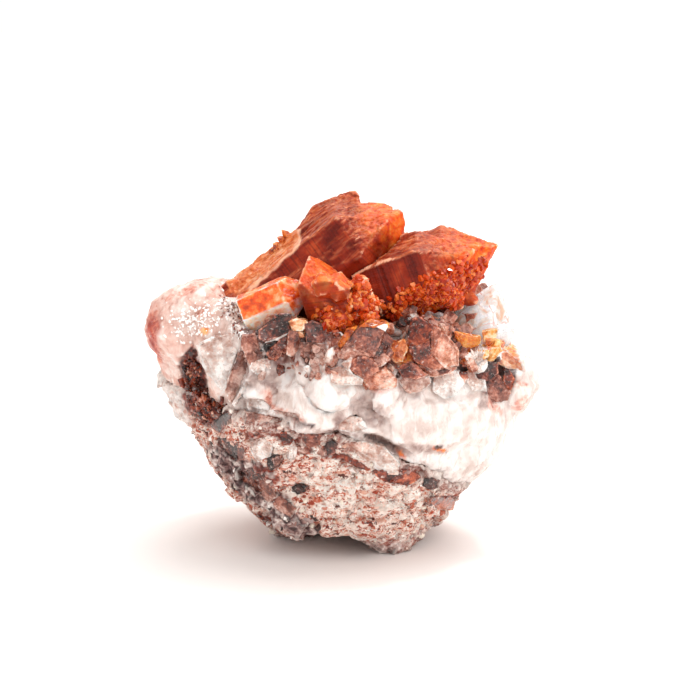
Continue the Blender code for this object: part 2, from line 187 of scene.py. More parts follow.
# %% Random values
def hashed(cells, seed):
    """Three random numbers from 0 to 1 for each row of whole numbers."""
    x, y, z = (cells.astype(np.int64) & 0xFFFF).T
    out = []
    for i in range(3):
        h = x * 73856093 ^ y * 19349663 ^ z * 83492791 ^ (seed * 2654435 + i * 40503977)
        h = (h ^ (h >> 13)) * 1274126177 & 0xFFFFFFFF
        h = (h ^ (h >> 16)) * 2246822519 & 0xFFFFFFFF
        out.append((h ^ (h >> 15)) & 0xFFFFFF)
    return np.stack(out, axis=1) / 0xFFFFFF


def waves(points, size, seed):
    """Smooth random values from -1 to 1 that change over about size millimetres."""
    scaled = points / size
    low = np.floor(scaled)
    share = scaled - low
    share = share * share * (3 - 2 * share)
    total = np.zeros(len(points))
    for corner in itertools.product((0, 1), repeat=3):
        weight = np.prod(np.where(corner, share, 1 - share), axis=1)
        total += weight * hashed(low + corner, seed)[:, 0]
    return 2 * total - 1


def rough(points, size, seed, octaves=3):
    """waves() with finer and weaker ones added."""
    return sum(waves(points, size / 2**i, seed + i) / 2**i for i in range(octaves))


def grains(points, size, seed):
    """The random cell of each point: (its middle, distance to its border, three random numbers)."""
    scaled = points / size
    low = np.floor(scaled)
    first = np.full(len(points), 9.0)
    second = first.copy()
    middle = np.zeros_like(points)
    values = np.zeros_like(points)
    for step in itertools.product((-1, 0, 1), repeat=3):
        cell = low + step
        jitter = hashed(cell, seed)
        distance = np.linalg.norm(scaled - cell - jitter, axis=1)
        nearer = distance < first
        second = np.where(nearer, first, np.minimum(second, distance))
        first = np.where(nearer, distance, first)
        middle[nearer] = (cell + jitter)[nearer]
        values[nearer] = hashed(cell, seed + 7)[nearer]
    return middle * size, (second - first) * size / 2, values


def broken(points, size, depth, seed):
    """Heights of a surface that broke into tilted facets about size across."""
    middle, _, values = grains(points, size, seed)
    tilt = ((points - middle) * (values * 2 - 1)).sum(axis=1) / size
    return depth * (tilt + values[:, 0] - 0.5)


def step_up(values, low, high):
    """0 below low and 1 above high, with a smooth change between."""
    share = np.clip((values - low) / (high - low), 0, 1)
    return share * share * (3 - 2 * share)

# %% [markdown]
# ## From a solid to a fine surface
#
# The flat faces of the solids are mostly 1.5 to 8 mm wide. A voxel remesh covers each solid with
# small even ones, and then each point moves along its normal by a height that is worked out from
# its place. Stains are stored on the points too, as named values that a material reads.


# %% Fine pieces
class Piece:
    """A fine mesh in place of one solid, worked on as arrays in millimetres."""

    def __init__(self, made, node=None):
        self.object, self.node = made, node
        self.read()

    def read(self):
        mesh = self.object.data
        count = len(mesh.vertices)
        flat = np.empty(count * 3)
        mesh.vertices.foreach_get("co", flat)
        self.points = flat.reshape(-1, 3) / MM
        mesh.vertex_normals.foreach_get("vector", flat)
        self.normals = flat.reshape(-1, 3).copy()

    def move(self, heights=None):
        """Moves each point along its normal, but none below the ground."""
        if heights is not None:
            self.points = self.points + self.normals * heights[:, None]
        self.points[:, 2] = np.maximum(self.points[:, 2], 0)
        self.object.data.vertices.foreach_set("co", (self.points * MM).ravel())
        self.object.data.update()
        self.read()

    def neighbours(self):
        """The two end points of each edge."""
        ends = np.empty(len(self.object.data.edges) * 2, np.int32)
        self.object.data.edges.foreach_get("vertices", ends)
        return ends.reshape(-1, 2).T

    def soften(self, values, times):
        """values, each averaged with those of the points next to it."""
        a, b = self.neighbours()
        size = len(values)
        count = 1 + np.bincount(a, minlength=size) + np.bincount(b, minlength=size)
        for _ in range(times):
            values = (values + np.bincount(a, values[b], size) + np.bincount(b, values[a], size)) / count
        return values

    def melt(self, share, times):
        """Rounds the edges off; share is how much of it, from 0 to 1."""
        softened = np.stack([self.soften(axis, times) for axis in self.points.T], axis=1)
        self.points = self.points + (softened - self.points) * share
        self.move()

    def edges(self):
        """From 0 in a hollow, through 0.5 on a flat, to 1 on an edge that stands out."""
        a, b = self.neighbours()
        along = self.points[b] - self.points[a]
        along /= np.linalg.norm(along, axis=1, keepdims=True) + 1e-9
        at_a = -(self.normals[a] * along).sum(axis=1)
        at_b = (self.normals[b] * along).sum(axis=1)
        size = len(self.points)
        total = np.bincount(a, at_a, size) + np.bincount(b, at_b, size)
        count = np.bincount(a, minlength=size) + np.bincount(b, minlength=size)
        return np.clip(0.5 + self.soften(total / np.maximum(count, 1), 2), 0, 1)

    def store(self, name, values):
        made = self.object.data.attributes.new(name, "FLOAT", "POINT")
        made.data.foreach_set("value", np.clip(values, 0, 1).astype(np.float32))

    def store_places(self, name, places):
        made = self.object.data.attributes.new(name, "FLOAT_VECTOR", "POINT")
        made.data.foreach_set("vector", places.astype(np.float32).ravel())

    def finish(self, material, slot):
        mesh = self.object.data
        mesh.materials.clear()
        mesh.materials.append(material)
        mesh.shade_smooth()
        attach(self.object, "root")
        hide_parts(self.node)
        size = (self.points.max(axis=0) - self.points.min(axis=0)).round(1)
        print(self.object.name, len(mesh.polygons), "faces,", " x ".join(map(str, size)), "mm")


def fine_piece(name, node, voxel):
    """The solid of that node, covered with even faces about voxel millimetres across."""
    source = bmesh.new()
    source.from_mesh(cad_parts[node].data)
    bmesh.ops.remove_doubles(source, verts=source.verts[:], dist=0.002 * MM)
    coarse = bpy.data.meshes.new(name)
    source.to_mesh(coarse)
    source.free()
    made = bpy.data.objects.new(name, coarse)
    bpy.context.scene.collection.objects.link(made)
    remesh = made.modifiers.new("even faces", "REMESH")
    remesh.mode = "VOXEL"
    remesh.voxel_size = voxel * MM
    use_result(made)
    return Piece(made, node)


def use_result(made):
    """Puts what the modifiers of an object make in place of its mesh."""
    result = made.evaluated_get(bpy.context.evaluated_depsgraph_get())
    made.data = bpy.data.meshes.new_from_object(result)
    made.modifiers.clear()


FRONT = 4.0  # mm: what has a smaller y is seen from the front


def from_middle(points, x, z, wide, high, turn):
    """How far each point is from the middle of an oval on the front, as a share of its size.

    x and z are its middle, wide and high its half widths, all in millimetres, and turn is how
    many degrees it is turned anticlockwise.
    """
    a = math.radians(turn)
    dx, dz = points[:, 0] - x, points[:, 2] - z
    across = (dx * math.cos(a) + dz * math.sin(a)) / wide
    up = (dz * math.cos(a) - dx * math.sin(a)) / high
    return np.hypot(across, up)


def patches(points, places):
    """1 inside some ovals on the front of the specimen and 0 outside, with ragged borders."""
    found = np.zeros(len(points))
    for i, (x, z, wide, high, turn) in enumerate(places):
        distance = from_middle(points, x, z, wide, high, turn)
        near = (distance < 1.7) & (points[:, 1] < FRONT)
        ragged = 0.32 * rough(points[near], min(wide, high) * 0.9, seed=31 + i)
        found[near] = np.maximum(found[near], 1 - step_up(distance[near] + ragged, 0.8, 1.15))
    return found


def swellings(points, places):
    """Heights of soft swellings on the front: (x, z, half width, half height, turn, height)."""
    heights = np.zeros(len(points))
    for *oval, height in places:
        distance = from_middle(points, *oval)
        heights += height * step_up(1.3 - distance, 0.0, 1.0) * (points[:, 1] < FRONT)
    return heights


def inside_of(points, corners):
    """How many millimetres inside a polygon on the front each point is, and negative outside it.

    corners are its places, x and z in turn. The polygon bulges outwards at each of them.
    """
    corners = np.reshape(corners, (-1, 2))
    middle = corners.mean(axis=0)
    inside = np.full(len(points), 99.0)
    for a, b in zip(corners, np.roll(corners, -1, axis=0)):
        inward = np.array((a[1] - b[1], b[0] - a[0])) / np.linalg.norm(b - a)
        inward *= np.sign(inward @ (middle - a))
        inside = np.minimum(inside, (points[:, [0, 2]] - a) @ inward)
    return inside


def ragged_areas(points, areas):
    """1 inside some polygons on the front and 0 outside, with a slightly ragged border."""
    inside = np.max([inside_of(points, corners) for corners in areas], axis=0)
    inside += 0.35 * rough(points, 1.6, seed=37)
    return step_up(inside, -0.25, 0.25) * (points[:, 1] < FRONT)


def depth_of(points, corners, depth, slope):
    """Where the plane of a facet is, at each point. slope is to the right and up."""
    middle = np.reshape(corners, (-1, 2)).mean(axis=0)
    return depth + (points[:, [0, 2]] - middle) @ np.array(slope)

# %% [markdown]
# ## Flat faces of broken crystals
#
# Many crystals of the druse broke off and left a flat face, and each of these faces catches the
# light in its own way. So each is given as a polygon on the front with x and z for each
# corner. The rock holds such faces too, where a fragment of another crystal broke flat.

# %% Facets
FACETS = {  # depth of its middle, slope to the right and up, how pale, how rusty, and corners
    "kite": (-16.7, (0, 0), 0.93, 0.05, (
        -25, 38.7, -22.4, 40.1, -19, 40.8, -17.4, 39.8, -19.8, 32.8, -20.1, 30.8, -21, 31.2, -23.3, 34.2)),
    "grey strip beside it": (-17.9, (0.3, 0), 0.5, 0, (
        -17.3, 38.4, -16.2, 36.9, -16.1, 35, -19.2, 29.2, -20, 30.9, -19.8, 33, -18.1, 37)),
    "mauve one": (-20.6, (0, 0.2), 0.48, 0.2, (
        -16.9, 41.2, -15, 41.4, -13.2, 37.7, -15.6, 35.8, -16.1, 37.4, -17.1, 39.3)),
    "dark purple end": (-22.6, (0, 0.5), 0.2, 0.2, (
        -14, 42.5, -12.2, 43.7, -10.7, 45, -8.8, 45, -9.1, 42.2, -13.1, 40.7, -14, 41.4)),
    "white edge of it": (-23, (0, -0.3), 0.93, 0, (
        -13.1, 40.7, -9.2, 42.1, -10.5, 41, -13, 40.3)),
    # painted shade: a black face put in the gap
    "black gap": (-22, (0, 0), 0, 0, (
        -13.1, 40, -10.7, 40.7, -12.5, 39.2, -13.1, 38.6)),
    "brown side": (-22.9, (0.2, -0.3), 0.33, 0.3, (
        -12.7, 38.7, -10.6, 40.9, -9.1, 42, -9.4, 39.6, -11.2, 37.3, -12.5, 38.1)),
    "striped mauve side": (-23.4, (0.4, 0), 0.48, 0.2, (
        -9, 42.6, -6.8, 42.3, -7.4, 38.8, -8.6, 38.2, -9.3, 38.8)),
    "dark one below the peach": (-23.6, (0, 0.5), 0.22, 0.25, (
        -6.4, 43.8, -5.1, 44.2, -3.1, 43.6, -2.6, 42.3, -2.9, 40.8, -6.1, 40.7)),
    "olive block": (-24.6, (-0.2, 0), 0.53, 0, (
        -7.1, 40.8, -2.9, 40.7, -2.3, 39.3, -3.2, 37.5, -6, 37, -7.3, 38.7)),
    "peach wedge": (-23, (0, 0.2), 0.72, 0.72, (
        -8.9, 44, -7.6, 44.4, -6, 44.2, -5.6, 43.5, -6.8, 42.6, -8.3, 42.5)),
    "white plate": (-21.9, (-0.25, 0), 0.8, 0.05, (
        -15.6, 36, -14.7, 37.1, -12.9, 37.7, -13.2, 36.1, -14.3, 34.7, -15.1, 35.3)),
    "mauve beside the block": (-24.6, (0, 0.3), 0.46, 0.3, (
        -2.7, 42.3, -0.4, 42.5, 0.2, 40.8, -0.8, 38.4, -2.1, 39.2)),
    "pinkish below it": (-25.6, (0, -0.2), 0.62, 0.25, (
        -2.2, 39, -0.8, 38.4, -1.1, 36.9, -2.6, 36.7, -2.8, 37.7)),
    "white streak": (-21.1, (0, 0.3), 0.93, 0, (
        -16.3, 30.3, -14.4, 30.6, -12.4, 29.2, -12.7, 28.3, -16.1, 29.2)),
    "layers": (-21.9, (0, -0.2), 0.62, 0.04, (
        -16.4, 28.3, -12.4, 27.9, -9, 26.9, -9.3, 25.3, -13.7, 25.5, -16.3, 26.9)),
    "upper layers": (-23.6, (0, 0.2), 0.78, 0.04, (
        -11.9, 29, -7.5, 28.5, -7.2, 26.8, -8.7, 27.5)),
    "rod": (-19.7, (0.3, 0), 0.84, 0.06, (
        -18.9, 29.3, -18.3, 28.9, -15.8, 32.6, -16.4, 33.2)),
    "large one, front": (-25.8, (0, 0.4), 0.3, 0.2, (
        0.5, 40.8, 2.7, 43.4, 5, 44, 6.9, 42.9, 5.9, 40.5, 5.1, 38.9, 1.8, 40.3)),
    "large one, right": (-25.4, (0.6, 0.1), 0.25, 0.2, (
        6.1, 40.6, 7.1, 42.7, 8.4, 41.2, 7.9, 39.2, 5.3, 38.8)),
    "large one, below": (-26.2, (0, -0.3), 0.5, 0.2, (
        -0.8, 38.7, 0.4, 40.6, 1.7, 40.1, 4.9, 38.9, 3.9, 38.4, 1.1, 38.2)),
    "rust on its top": (-24.6, (0, 0.9), 0.5, 0.95, (
        2.7, 43.4, 4.8, 44.6, 7.3, 44.3, 7.5, 43.6, 5.1, 44)),
    "rust on its left": (-25, (-0.4, 0.2), 0.44, 0.93, (
        -0.8, 40.7, 0.6, 43, 2.4, 43.6, 0.5, 40.9, -0.5, 39.5)),
    # painted highlight: a nearly white face on the corner
    "its bright corner": (-25.4, (0, 0.2), 0.97, 0, (
        5.6, 43.6, 7.4, 43.9, 7.1, 42.9)),
    "tan one": (-26.6, (0.1, 0.2), 0.42, 0.35, (
        1.1, 36.9, 1.6, 38.1, 3, 38.7, 4.9, 38.4, 6.1, 36.4, 3.7, 35.2, 2.2, 35.9)),
    "pale side of the tan one": (-27.3, (-0.4, 0.2), 0.82, 0.15, (
        -0.2, 37.6, 1.4, 38.2, 1, 37.1, 1.6, 36.2)),
    "pale slope": (-27, (0, 0.5), 0.8, 0.17, (
        -1.9, 36.4, -0.1, 37.3, 1.4, 36.1, 3.3, 35.1, 3.1, 34.2, -1.9, 34.5)),
    "pink one": (-24.8, (0, 0.2), 0.66, 0.42, (
        3.6, 34.6, 6.2, 35.8, 7.1, 36.3, 9, 34.6, 9.1, 33.4, 6.9, 32.9, 4.6, 32.9)),
    "small tan block": (-25.5, (0.2, 0.2), 0.6, 0.27, (
        5.2, 38.5, 7.3, 38.9, 7.9, 38.1, 6.2, 36.8, 5.4, 37.4)),
    "small orange one": (-23.4, (-0.2, 0.2), 0.56, 0.75, (
        8.5, 40.4, 10.3, 41.1, 10.9, 39.6, 10.1, 37.5, 8.9, 37.1, 8.1, 38.2)),
    "right one, dark top": (-22.4, (-0.3, 0.4), 0.25, 0.5, (
        10.8, 41.4, 11.8, 44, 13.3, 44.4, 15.2, 43.4, 14.7, 41.2, 12.7, 39.8, 11.2, 39.8)),
    "right one, pink side": (-22.6, (0.45, 0.2), 0.6, 0.42, (
        15.3, 43.3, 17.4, 41.9, 19.5, 38.8, 19.6, 36.4, 17.1, 36.4, 15.1, 38.8, 14.9, 41.1)),
    "right one, brown front": (-23.4, (0, -0.1), 0.36, 0.42, (
        11.2, 39.8, 12.7, 39.8, 14.7, 41.1, 15, 38.9, 16.9, 36.5, 15.1, 35.7, 12.2, 37.3)),
    "right one, below": (-22.2, (0, -0.4), 0.62, 0.32, (
        12.4, 36.8, 15.1, 35.3, 17.1, 36.1, 19.3, 36.2, 18.2, 34.9, 15.8, 34.3, 13.8, 34.8)),
    # painted shade: a dark face put in the gap under the right one
    "gap under the right one": (-22.3, (0, 0), 0.1, 0.2, (
        16, 35.6, 17.5, 36, 18.7, 36.1, 17.7, 35, 16.5, 34.8)),
    "round one, top": (-24.4, (0, 0.6), 0.32, 0.3, (
        9.3, 36.3, 10.1, 36.9, 12, 36.9, 14.4, 35.3, 12.2, 34.9, 10, 34.9)),
    "round one, front": (-23.2, (0, 0), 0.7, 0.12, (
        9.4, 34.5, 12.2, 34.5, 14.6, 34.8, 15, 33.4, 13.4, 32.1, 11.4, 31.7, 9.7, 33.2)),
    "amber below the clear crystal": (-17.5, (0, 0.2), 0.7, 1, (
        19.4, 41, 21.7, 40.4, 23.6, 40.5, 23.6, 39.3, 22, 38.6, 20.3, 38.7)),
    "rust under the amber": (-17.9, (0, -0.2), 0.47, 0.97, (
        20.4, 38.6, 21.9, 38.6, 21.1, 37.3, 20.5, 37.7)),
    "second amber": (-10.5, (0.2, 0.2), 0.82, 0.95, (
        24.4, 40, 26.9, 40.3, 26.9, 39.1, 24.7, 38.3)),
    "peach on the right": (-8.7, (0.3, 0.3), 0.74, 0.58, (
        26.6, 35.4, 29, 35.9, 31.2, 34.3, 31.7, 32.7, 29.1, 33.2, 27.4, 34)),
    "round dark one in the pocket": (-15.4, (0.1, 0.2), 0.1, 0.32, (
        22.6, 34.6, 24, 35.8, 25.5, 36.2, 26.6, 35.1, 26.8, 33.6, 25.1, 32.5, 23.4, 32.4)),
    "grey below the pocket": (-10.4, (0.2, 0), 0.4, 0.16, (
        25.5, 31.3, 27.3, 32.3, 28.1, 31.3, 29.7, 29.3, 29, 27.7, 26.2, 27.3, 25.3, 29.3)),
    "red in the pocket": (-10.3, (0.4, 0), 0.24, 0.5, (
        28.3, 32.9, 29.2, 33.2, 30.2, 31.4, 29.8, 29.5, 28.7, 30.1, 28.2, 31.4)),
    "brown chip": (-18.4, (0, 0), 0.42, 0.36, (
        20, 34.3, 21.1, 34.4, 21.5, 33.5, 20.8, 32.8, 20, 33.3)),
    "white one under the right one": (-19.7, (0.45, 0.3), 0.93, 0.06, (
        15.6, 34.3, 17.8, 34.9, 19.8, 34.6, 20.6, 32.6, 19.2, 30.6, 17.2, 30.3, 15.4, 31.8)),
    "white shoulder": (-17.5, (0.2, 0.2), 0.84, 0.06, (
        21.2, 34.3, 22.2, 35, 23.1, 32.7, 24.6, 32.6, 24.6, 31, 22.6, 31.2, 21.5, 32.6)),
    "pale block below it": (-24.3, (0, 0.1), 0.8, 0.03, (
        -0.8, 26.8, 1.1, 28, 3.3, 27.8, 4, 26.1, 1.6, 25.2, -0.4, 25.7)),
}

HOLLOWS = (  # as in FACETS, but only cut out: before the clear crystal, a cavity of two parts, a flat
    (-2.2, (0, 0.85), 1, 0, (
        17.6, 41.4, 20.8, 44.8, 23.3, 47, 29.6, 47.2, 30.4, 42.4, 27.6, 38.8, 24.3, 37.9, 19.9, 38.4)),
    (-13, (0, 0), 1, 0, (
        4.5, 46.5, 5.6, 44.2, 9.2, 41.2, 10.9, 41, 12.4, 43, 12.6, 46.5)),
    (-13, (0, 0), 1, 0, (
        11.5, 43.2, 18.6, 41.8, 19, 46.5, 11.5, 46.5)),
    (-19.1, (0.53, 0.35), 1, 0, (
        9, 31, 12, 35, 20, 36, 26, 32.5, 25, 30, 17, 29.6)),
)

ROCK_FACETS = {  # as in FACETS
    "lens": (-22.6, (-0.12, -0.26), 0.84, 0.14, (
        0.5, 23.1, 3.7, 23.4, 7, 22.5, 9.9, 19.4, 8.9, 17.6, 6.4, 17.8, 3.1, 20.3, 1.1, 21.3)),
    "jasper below the lens": (-21.2, (0.31, -0.36), 0.28, 0.48, (
        5.3, 18.2, 9, 17.3, 11.7, 17.9, 13.4, 16.2, 11.1, 14.9, 8.7, 15.5, 6, 16.9)),
    "jasper left of the lens": (-21.8, (-0.11, -0.2), 0.3, 0.45, (
        -0.5, 21.2, 1.1, 20.5, 3.4, 19.5, 5.1, 17.8, 3.1, 18.1, 0.5, 19.4)),
    "red corner": (-7.9, (1.58, -1.35), 0.42, 0.5, (
        15.2, 11.6, 18.9, 10.5, 20.5, 8, 20.1, 5, 17.7, 6.5, 16.1, 8.8)),
    "dark one with a stripe": (-13.3, (-1.1, -0.54), 0.14, 0.05, (
        -22.6, 20.8, -20.4, 21.7, -17.2, 20.9, -17, 18.2, -18.8, 17.4, -21.3, 19.2)),
    "dark block": (-20.7, (-0.18, -0.41), 0.05, 0.05, (
        -12.9, 19.9, -11.4, 20.9, -10.4, 20.4, -10.9, 18.5, -12.2, 17.4, -13.1, 18)),
    "low dark one": (-18.8, (-0.2, -0.37), 0.06, 0.05, (
        -8.7, 14.2, -7.6, 15, -6.2, 14.5, -6.4, 13.4, -7.9, 12.7, -8.7, 13.3)),
    "dark one at the lens": (-22.3, (-0.02, -0.29), 0.05, 0.1, (
        -2.9, 23, -1.8, 23.5, -0.8, 22.7, -1.2, 21.2, -2.5, 20.8, -3.1, 21.8)),
    "maroon one": (-22.8, (-0.05, -0.34), 0.22, 0.4, (
        -10.8, 24.8, -9.6, 25.2, -8.7, 24.5, -8.8, 22.8, -10.3, 22.6)),
    "mauve plate": (-16.5, (-0.92, -0.48), 0.44, 0.1, (
        -16.4, 14.9, -14.2, 16.3, -12.2, 14.5, -11.6, 12.3, -13, 10.7, -15, 12.1)),
    "mauve plate below": (-17, (-0.33, -0.35), 0.46, 0.1, (
        -12.6, 11.6, -10.8, 12.4, -8.2, 10.1, -9, 8.3, -11.3, 9.4)),
    "purple one": (-14.3, (-1.19, -0.44), 0.3, 0.15, (
        -18.5, 15.6, -16, 16.9, -14.2, 15.9, -15.7, 13.4, -17.9, 13.5)),
    "pale grey one": (-20.4, (-0.83, -0.42), 0.8, 0.05, (
        -15.8, 22.6, -13.6, 23.7, -12, 22.7, -12.4, 20.3, -14.5, 19, -15.6, 20.3)),
    "long dark one": (-14.5, (-1.2, -0.48), 0.16, 0.2, (
        -23.2, 23.2, -22.6, 24.6, -20.1, 27.6, -19, 26.8, -20.3, 24.4, -21.8, 22.3)),
    "small dark one": (-16.5, (0.57, -0.52), 0.08, 0.05, (
        14.1, 15.3, 15.3, 15.6, 16.6, 14.5, 16.5, 13.3, 15, 13.2, 14.1, 14.1)),
    "grey one at the contact": (-22.8, (0, -0.43), 0.34, 0.2, (
        -6.7, 24.8, -5.2, 25.4, -3.5, 24.4, -3.9, 22.6, -5.7, 22.2, -6.9, 23.4)),
}

# %% [markdown]
# ## Room behind the flat faces
#
# A flat face is a small crystal of its own, so the surface that carries it has to stay behind it.
# Everything in front of the face's plane moves back to 0.4 mm behind it. Where a dark face is near,
# the quartz round it gets painted shade, as in the crevice between a crystal and what carries it.

# %% Room behind the facets
BEHIND = 0.4  # mm
DARK_FACET = 0.7  # a facet that is less pale than this darkens what is round it


def sink_behind(piece, entries):
    """Moves what is in front of the facets to just behind them, and tells where painted shade goes round
    the dark ones.
    """
    near = np.zeros(len(piece.points))
    front = piece.points[:, 1] < FRONT
    for depth, slope, pale, _, corners in entries:
        plane = depth_of(piece.points, corners, depth, slope) + BEHIND
        inside = inside_of(piece.points, corners)
        share = step_up(inside, -0.3, 0.2) * front
        piece.points[:, 1] += np.maximum(plane - piece.points[:, 1], 0) * share
        # painted shade in the crevice round a dark facet
        if pale < DARK_FACET:
            near = np.maximum(near, step_up(inside, -1.0, -0.1) * front)
    piece.move()
    return near

# %% [markdown]
# ## Shape of the rock
#
# The host is a breccia: rock that shattered and was glued together again by quartz and iron
# oxide. Its broken surface is uneven at several sizes, the blocks, the fragments of a few
# millimetres, and the grains of 0.3 to 2 mm, so several layers of broken facets are added.
#
# The milky quartz of the vein breaks into larger facets and shell-like swellings. Those that
# give the front its character are listed: a flat kite at the upper left with a grey strip
# beside it, two rounded masses, and the hollows where a crystal or a fragment fell out.

# %% Host rock
HOST_VOXEL = 0.36
SWELL = 0.22  # closes the clearance to the quartz above

host = fine_piece("broken_host_rock", "host_rock", HOST_VOXEL)
above_feet = step_up(host.points[:, 2], 1.0, 9.0)
host.move(
    SWELL
    + (0.2 + 0.8 * above_feet) * broken(host.points, 8.0, 1.4, seed=3)
    + (0.3 + 0.7 * above_feet) * broken(host.points, 3.0, 0.6, seed=5)
    + 0.25 * rough(host.points, 1.6, seed=8)
    - 0.3 * (1 - above_feet)
)
sink_behind(host, ROCK_FACETS.values())
host.move(broken(host.points, 1.3, 0.3, seed=12) + 0.12 * rough(host.points, 0.7, seed=14))

# %% Vein quartz
VEIN_VOXEL = 0.42
SWELLINGS = (  # x, z, half width, half height, turn, height
    (-6.4, 30.6, 6.6, 4.8, 0, 1.3), (-4.4, 29.4, 5, 5.4, -10, 0.9), (15.5, 27.5, 8.5, 6.5, -10, 1.3),
    (2.4, 32, 5.2, 1.6, -10, 0.7), (31, 33, 2.4, 2.2, 0, 1), (-14.6, 30.8, 2.8, 1.6, 0, 0.7),
    (-10.4, 27.8, 5.2, 1.3, -6, 0.6), (9.2, 42.6, 2.4, 2.6, 0, -3), (2, 27.4, 0.9, 0.4, 52, -1.6),
    (25.4, 33.2, 2.4, 3.2, 30, -2.2), (7.6, 22.4, 5.6, 1.3, -24, -1.8),
)
WEDGE = (  # two areas on the left where iron oxide and dark grains fill a hollow
    (-26.1, 38.4, -24.4, 34.8, -23.6, 32.2, -23.9, 29.8, -27.6, 29.1, -28.7, 30.2, -29, 33.3, -27.7, 36.2),
    (-27.9, 29, -24, 29.3, -20.8, 27, -23.2, 23.7, -24.5, 23.3, -26.2, 24.5, -27.4, 26.4),
)

# %% Shape of the vein
vein = fine_piece("vein_quartz", "milky_quartz", VEIN_VOXEL)
below_druse = 1 - step_up(vein.points[:, 2] + 2.0 * rough(vein.points, 6, seed=2), 31.0, 37.0)
vein.melt(0.6, 8)
left_lobe = 1 - step_up(vein.points[:, 0], -21.0, -17.0)
white_mass = step_up(vein.points[:, 0], 6.0, 12.0)
calm = (1 - 0.6 * left_lobe) * (1 - 0.5 * white_mass)
vein.move(
    SWELL
    + below_druse * calm * broken(vein.points, 9.0, 1.1, seed=21)
    + calm * broken(vein.points, 3.6, 0.4, seed=23)
    + swellings(vein.points, SWELLINGS)
)
wedge = ragged_areas(vein.points, WEDGE)
vein.move(wedge * (broken(vein.points, 1.6, 0.9, seed=24) - 0.7))
# gap: where painted shade goes round the dark facets
gap = sink_behind(vein, (*FACETS.values(), *HOLLOWS))
vein.move(broken(vein.points, 1.4, 0.16, seed=26) + 0.06 * rough(vein.points, 0.9, seed=28))
wedge = ragged_areas(vein.points, WEDGE)

# %% [markdown]
# ## Stains
#
# Iron oxide went into the quartz along its cracks, so its colour changes from place to place, and
# one map of stains serves the vein. Each stain is a few ovals.
# The black ovals, and some of the brown ones, are painted shade in the cavity behind the druse, in dents,
# in the pocket and in the gaps round crystals.

# %% Stains of the quartz
STAINS_AND_SHADE = {  # ovals on the front: x, z, half width, half height, turn
    "smoky": (
        (-15.4, 39.4, 2, 3.2, 0), (-17.4, 34.6, 1.3, 5.2, -14), (-13, 35, 2.6, 3.8, 10),
        (-5, 38, 4, 2.4, 0), (2.8, 36.2, 2.8, 1.8, -10), (12, 34, 3, 2.8, 0), (21.6, 36.8, 3, 2.4, 0),
        (25.8, 30.4, 2.4, 2.6, -20), (4.6, 28.8, 3.8, 2.8, -20), (-0.4, 27.4, 1.1, 2.4, 0),
        (-1.6, 25.2, 2.8, 1.2, 0), (-14.4, 34.2, 2.6, 1.4, 0), (-14.8, 29.8, 2.8, 1.2, 0),
        (-10.8, 27, 5.4, 1.4, -6), (7, 22.6, 5.4, 1.6, -24), (14, 21.8, 3.6, 0.9, -18),
    ),
    "plum": (
        (-11.7, 42, 2.8, 2.6, 30), (-10.3, 38.4, 2.8, 2.2, 40), (-15.2, 40.4, 1.4, 2, 0),
        (-4, 42, 3.4, 2.2, 0), (4, 40, 5.2, 3, 15), (7.9, 39.6, 2.2, 3.6, 0), (2.6, 36.6, 1.6, 0.9, -10),
        (13.4, 40.4, 3.4, 4.4, 0), (18.6, 38.6, 2.4, 3.4, 0), (12, 35.4, 2.4, 1.2, 0),
    ),
    "pink": (
        (-33.8, 40, 1.1, 4.6, -8), (-27.8, 46.8, 4, 0.6, 22), (-24, 43.6, 1.6, 0.7, 10),
        (6.6, 34.6, 3.6, 2.8, -10), (16.8, 37.8, 2.8, 2.8, 0), (-2, 39.4, 1, 3.2, -20),
        (-12.7, 31, 0.8, 1.8, 0), (-9.8, 28.8, 3.2, 0.5, -14), (31.2, 26.6, 2, 1, 50),
        (27.3, 38.2, 3.2, 1.4, -30), (30.8, 30.6, 2.2, 0.5, -10), (26.4, 27.4, 2.2, 0.7, -50),
    ),
    "orange": (
        (21.8, 39.9, 2.2, 1.3, -6), (25.6, 39.4, 1.8, 1.6, 0), (20.6, 37.4, 0.9, 1.4, 0),
        (0.6, 42, 2.2, 1.5, 35), (10, 38.6, 2, 2, 0), (17.2, 41, 3.4, 0.4, -50),
        (29.4, 36.2, 2.6, 0.6, -42), (-7.2, 43.4, 2.6, 2, 0), (10, 20.6, 1.6, 0.35, -55),
        (16.7, 21.2, 1.6, 0.4, -24), (-23.8, 40.9, 0.9, 0.6, 10),
    ),
    # brown: iron stain, and painted shade in the cavity behind the druse and in the pocket
    "brown": (
        (25.2, 33.2, 2.4, 3.2, 30), (29, 32.2, 1.4, 2.4, 30), (20.8, 34.8, 1.2, 1, 0),
        (-12.6, 42.8, 1.8, 1.6, 20), (12.8, 42.4, 2.4, 2.2, 0), (13.2, 38.4, 1.6, 1.8, 0),
        (14, 43.8, 5.6, 2.4, -8), (-12.4, 24.6, 1.4, 0.7, 0), (-5.8, 27, 1.2, 0.5, -10),
        (16.4, 21.8, 0.9, 0.5, 0),
    ),
    # black: painted shade in the cavity behind the druse, in dents and in gaps round crystals
    "black": (
        (-12.6, 39.7, 1.3, 0.5, 28), (9.4, 42.6, 2, 2.2, 0), (17.2, 35.4, 1.6, 0.6, 25),
        (2, 27.4, 0.9, 0.3, 52), (-14.4, 25.6, 1.8, 0.5, -22), (-0.8, 42.4, 0.9, 1.1, 0),
        (25.6, 33.6, 1.2, 1.4, 30), (6.4, 23.2, 3.6, 0.5, -26),
    ),
}


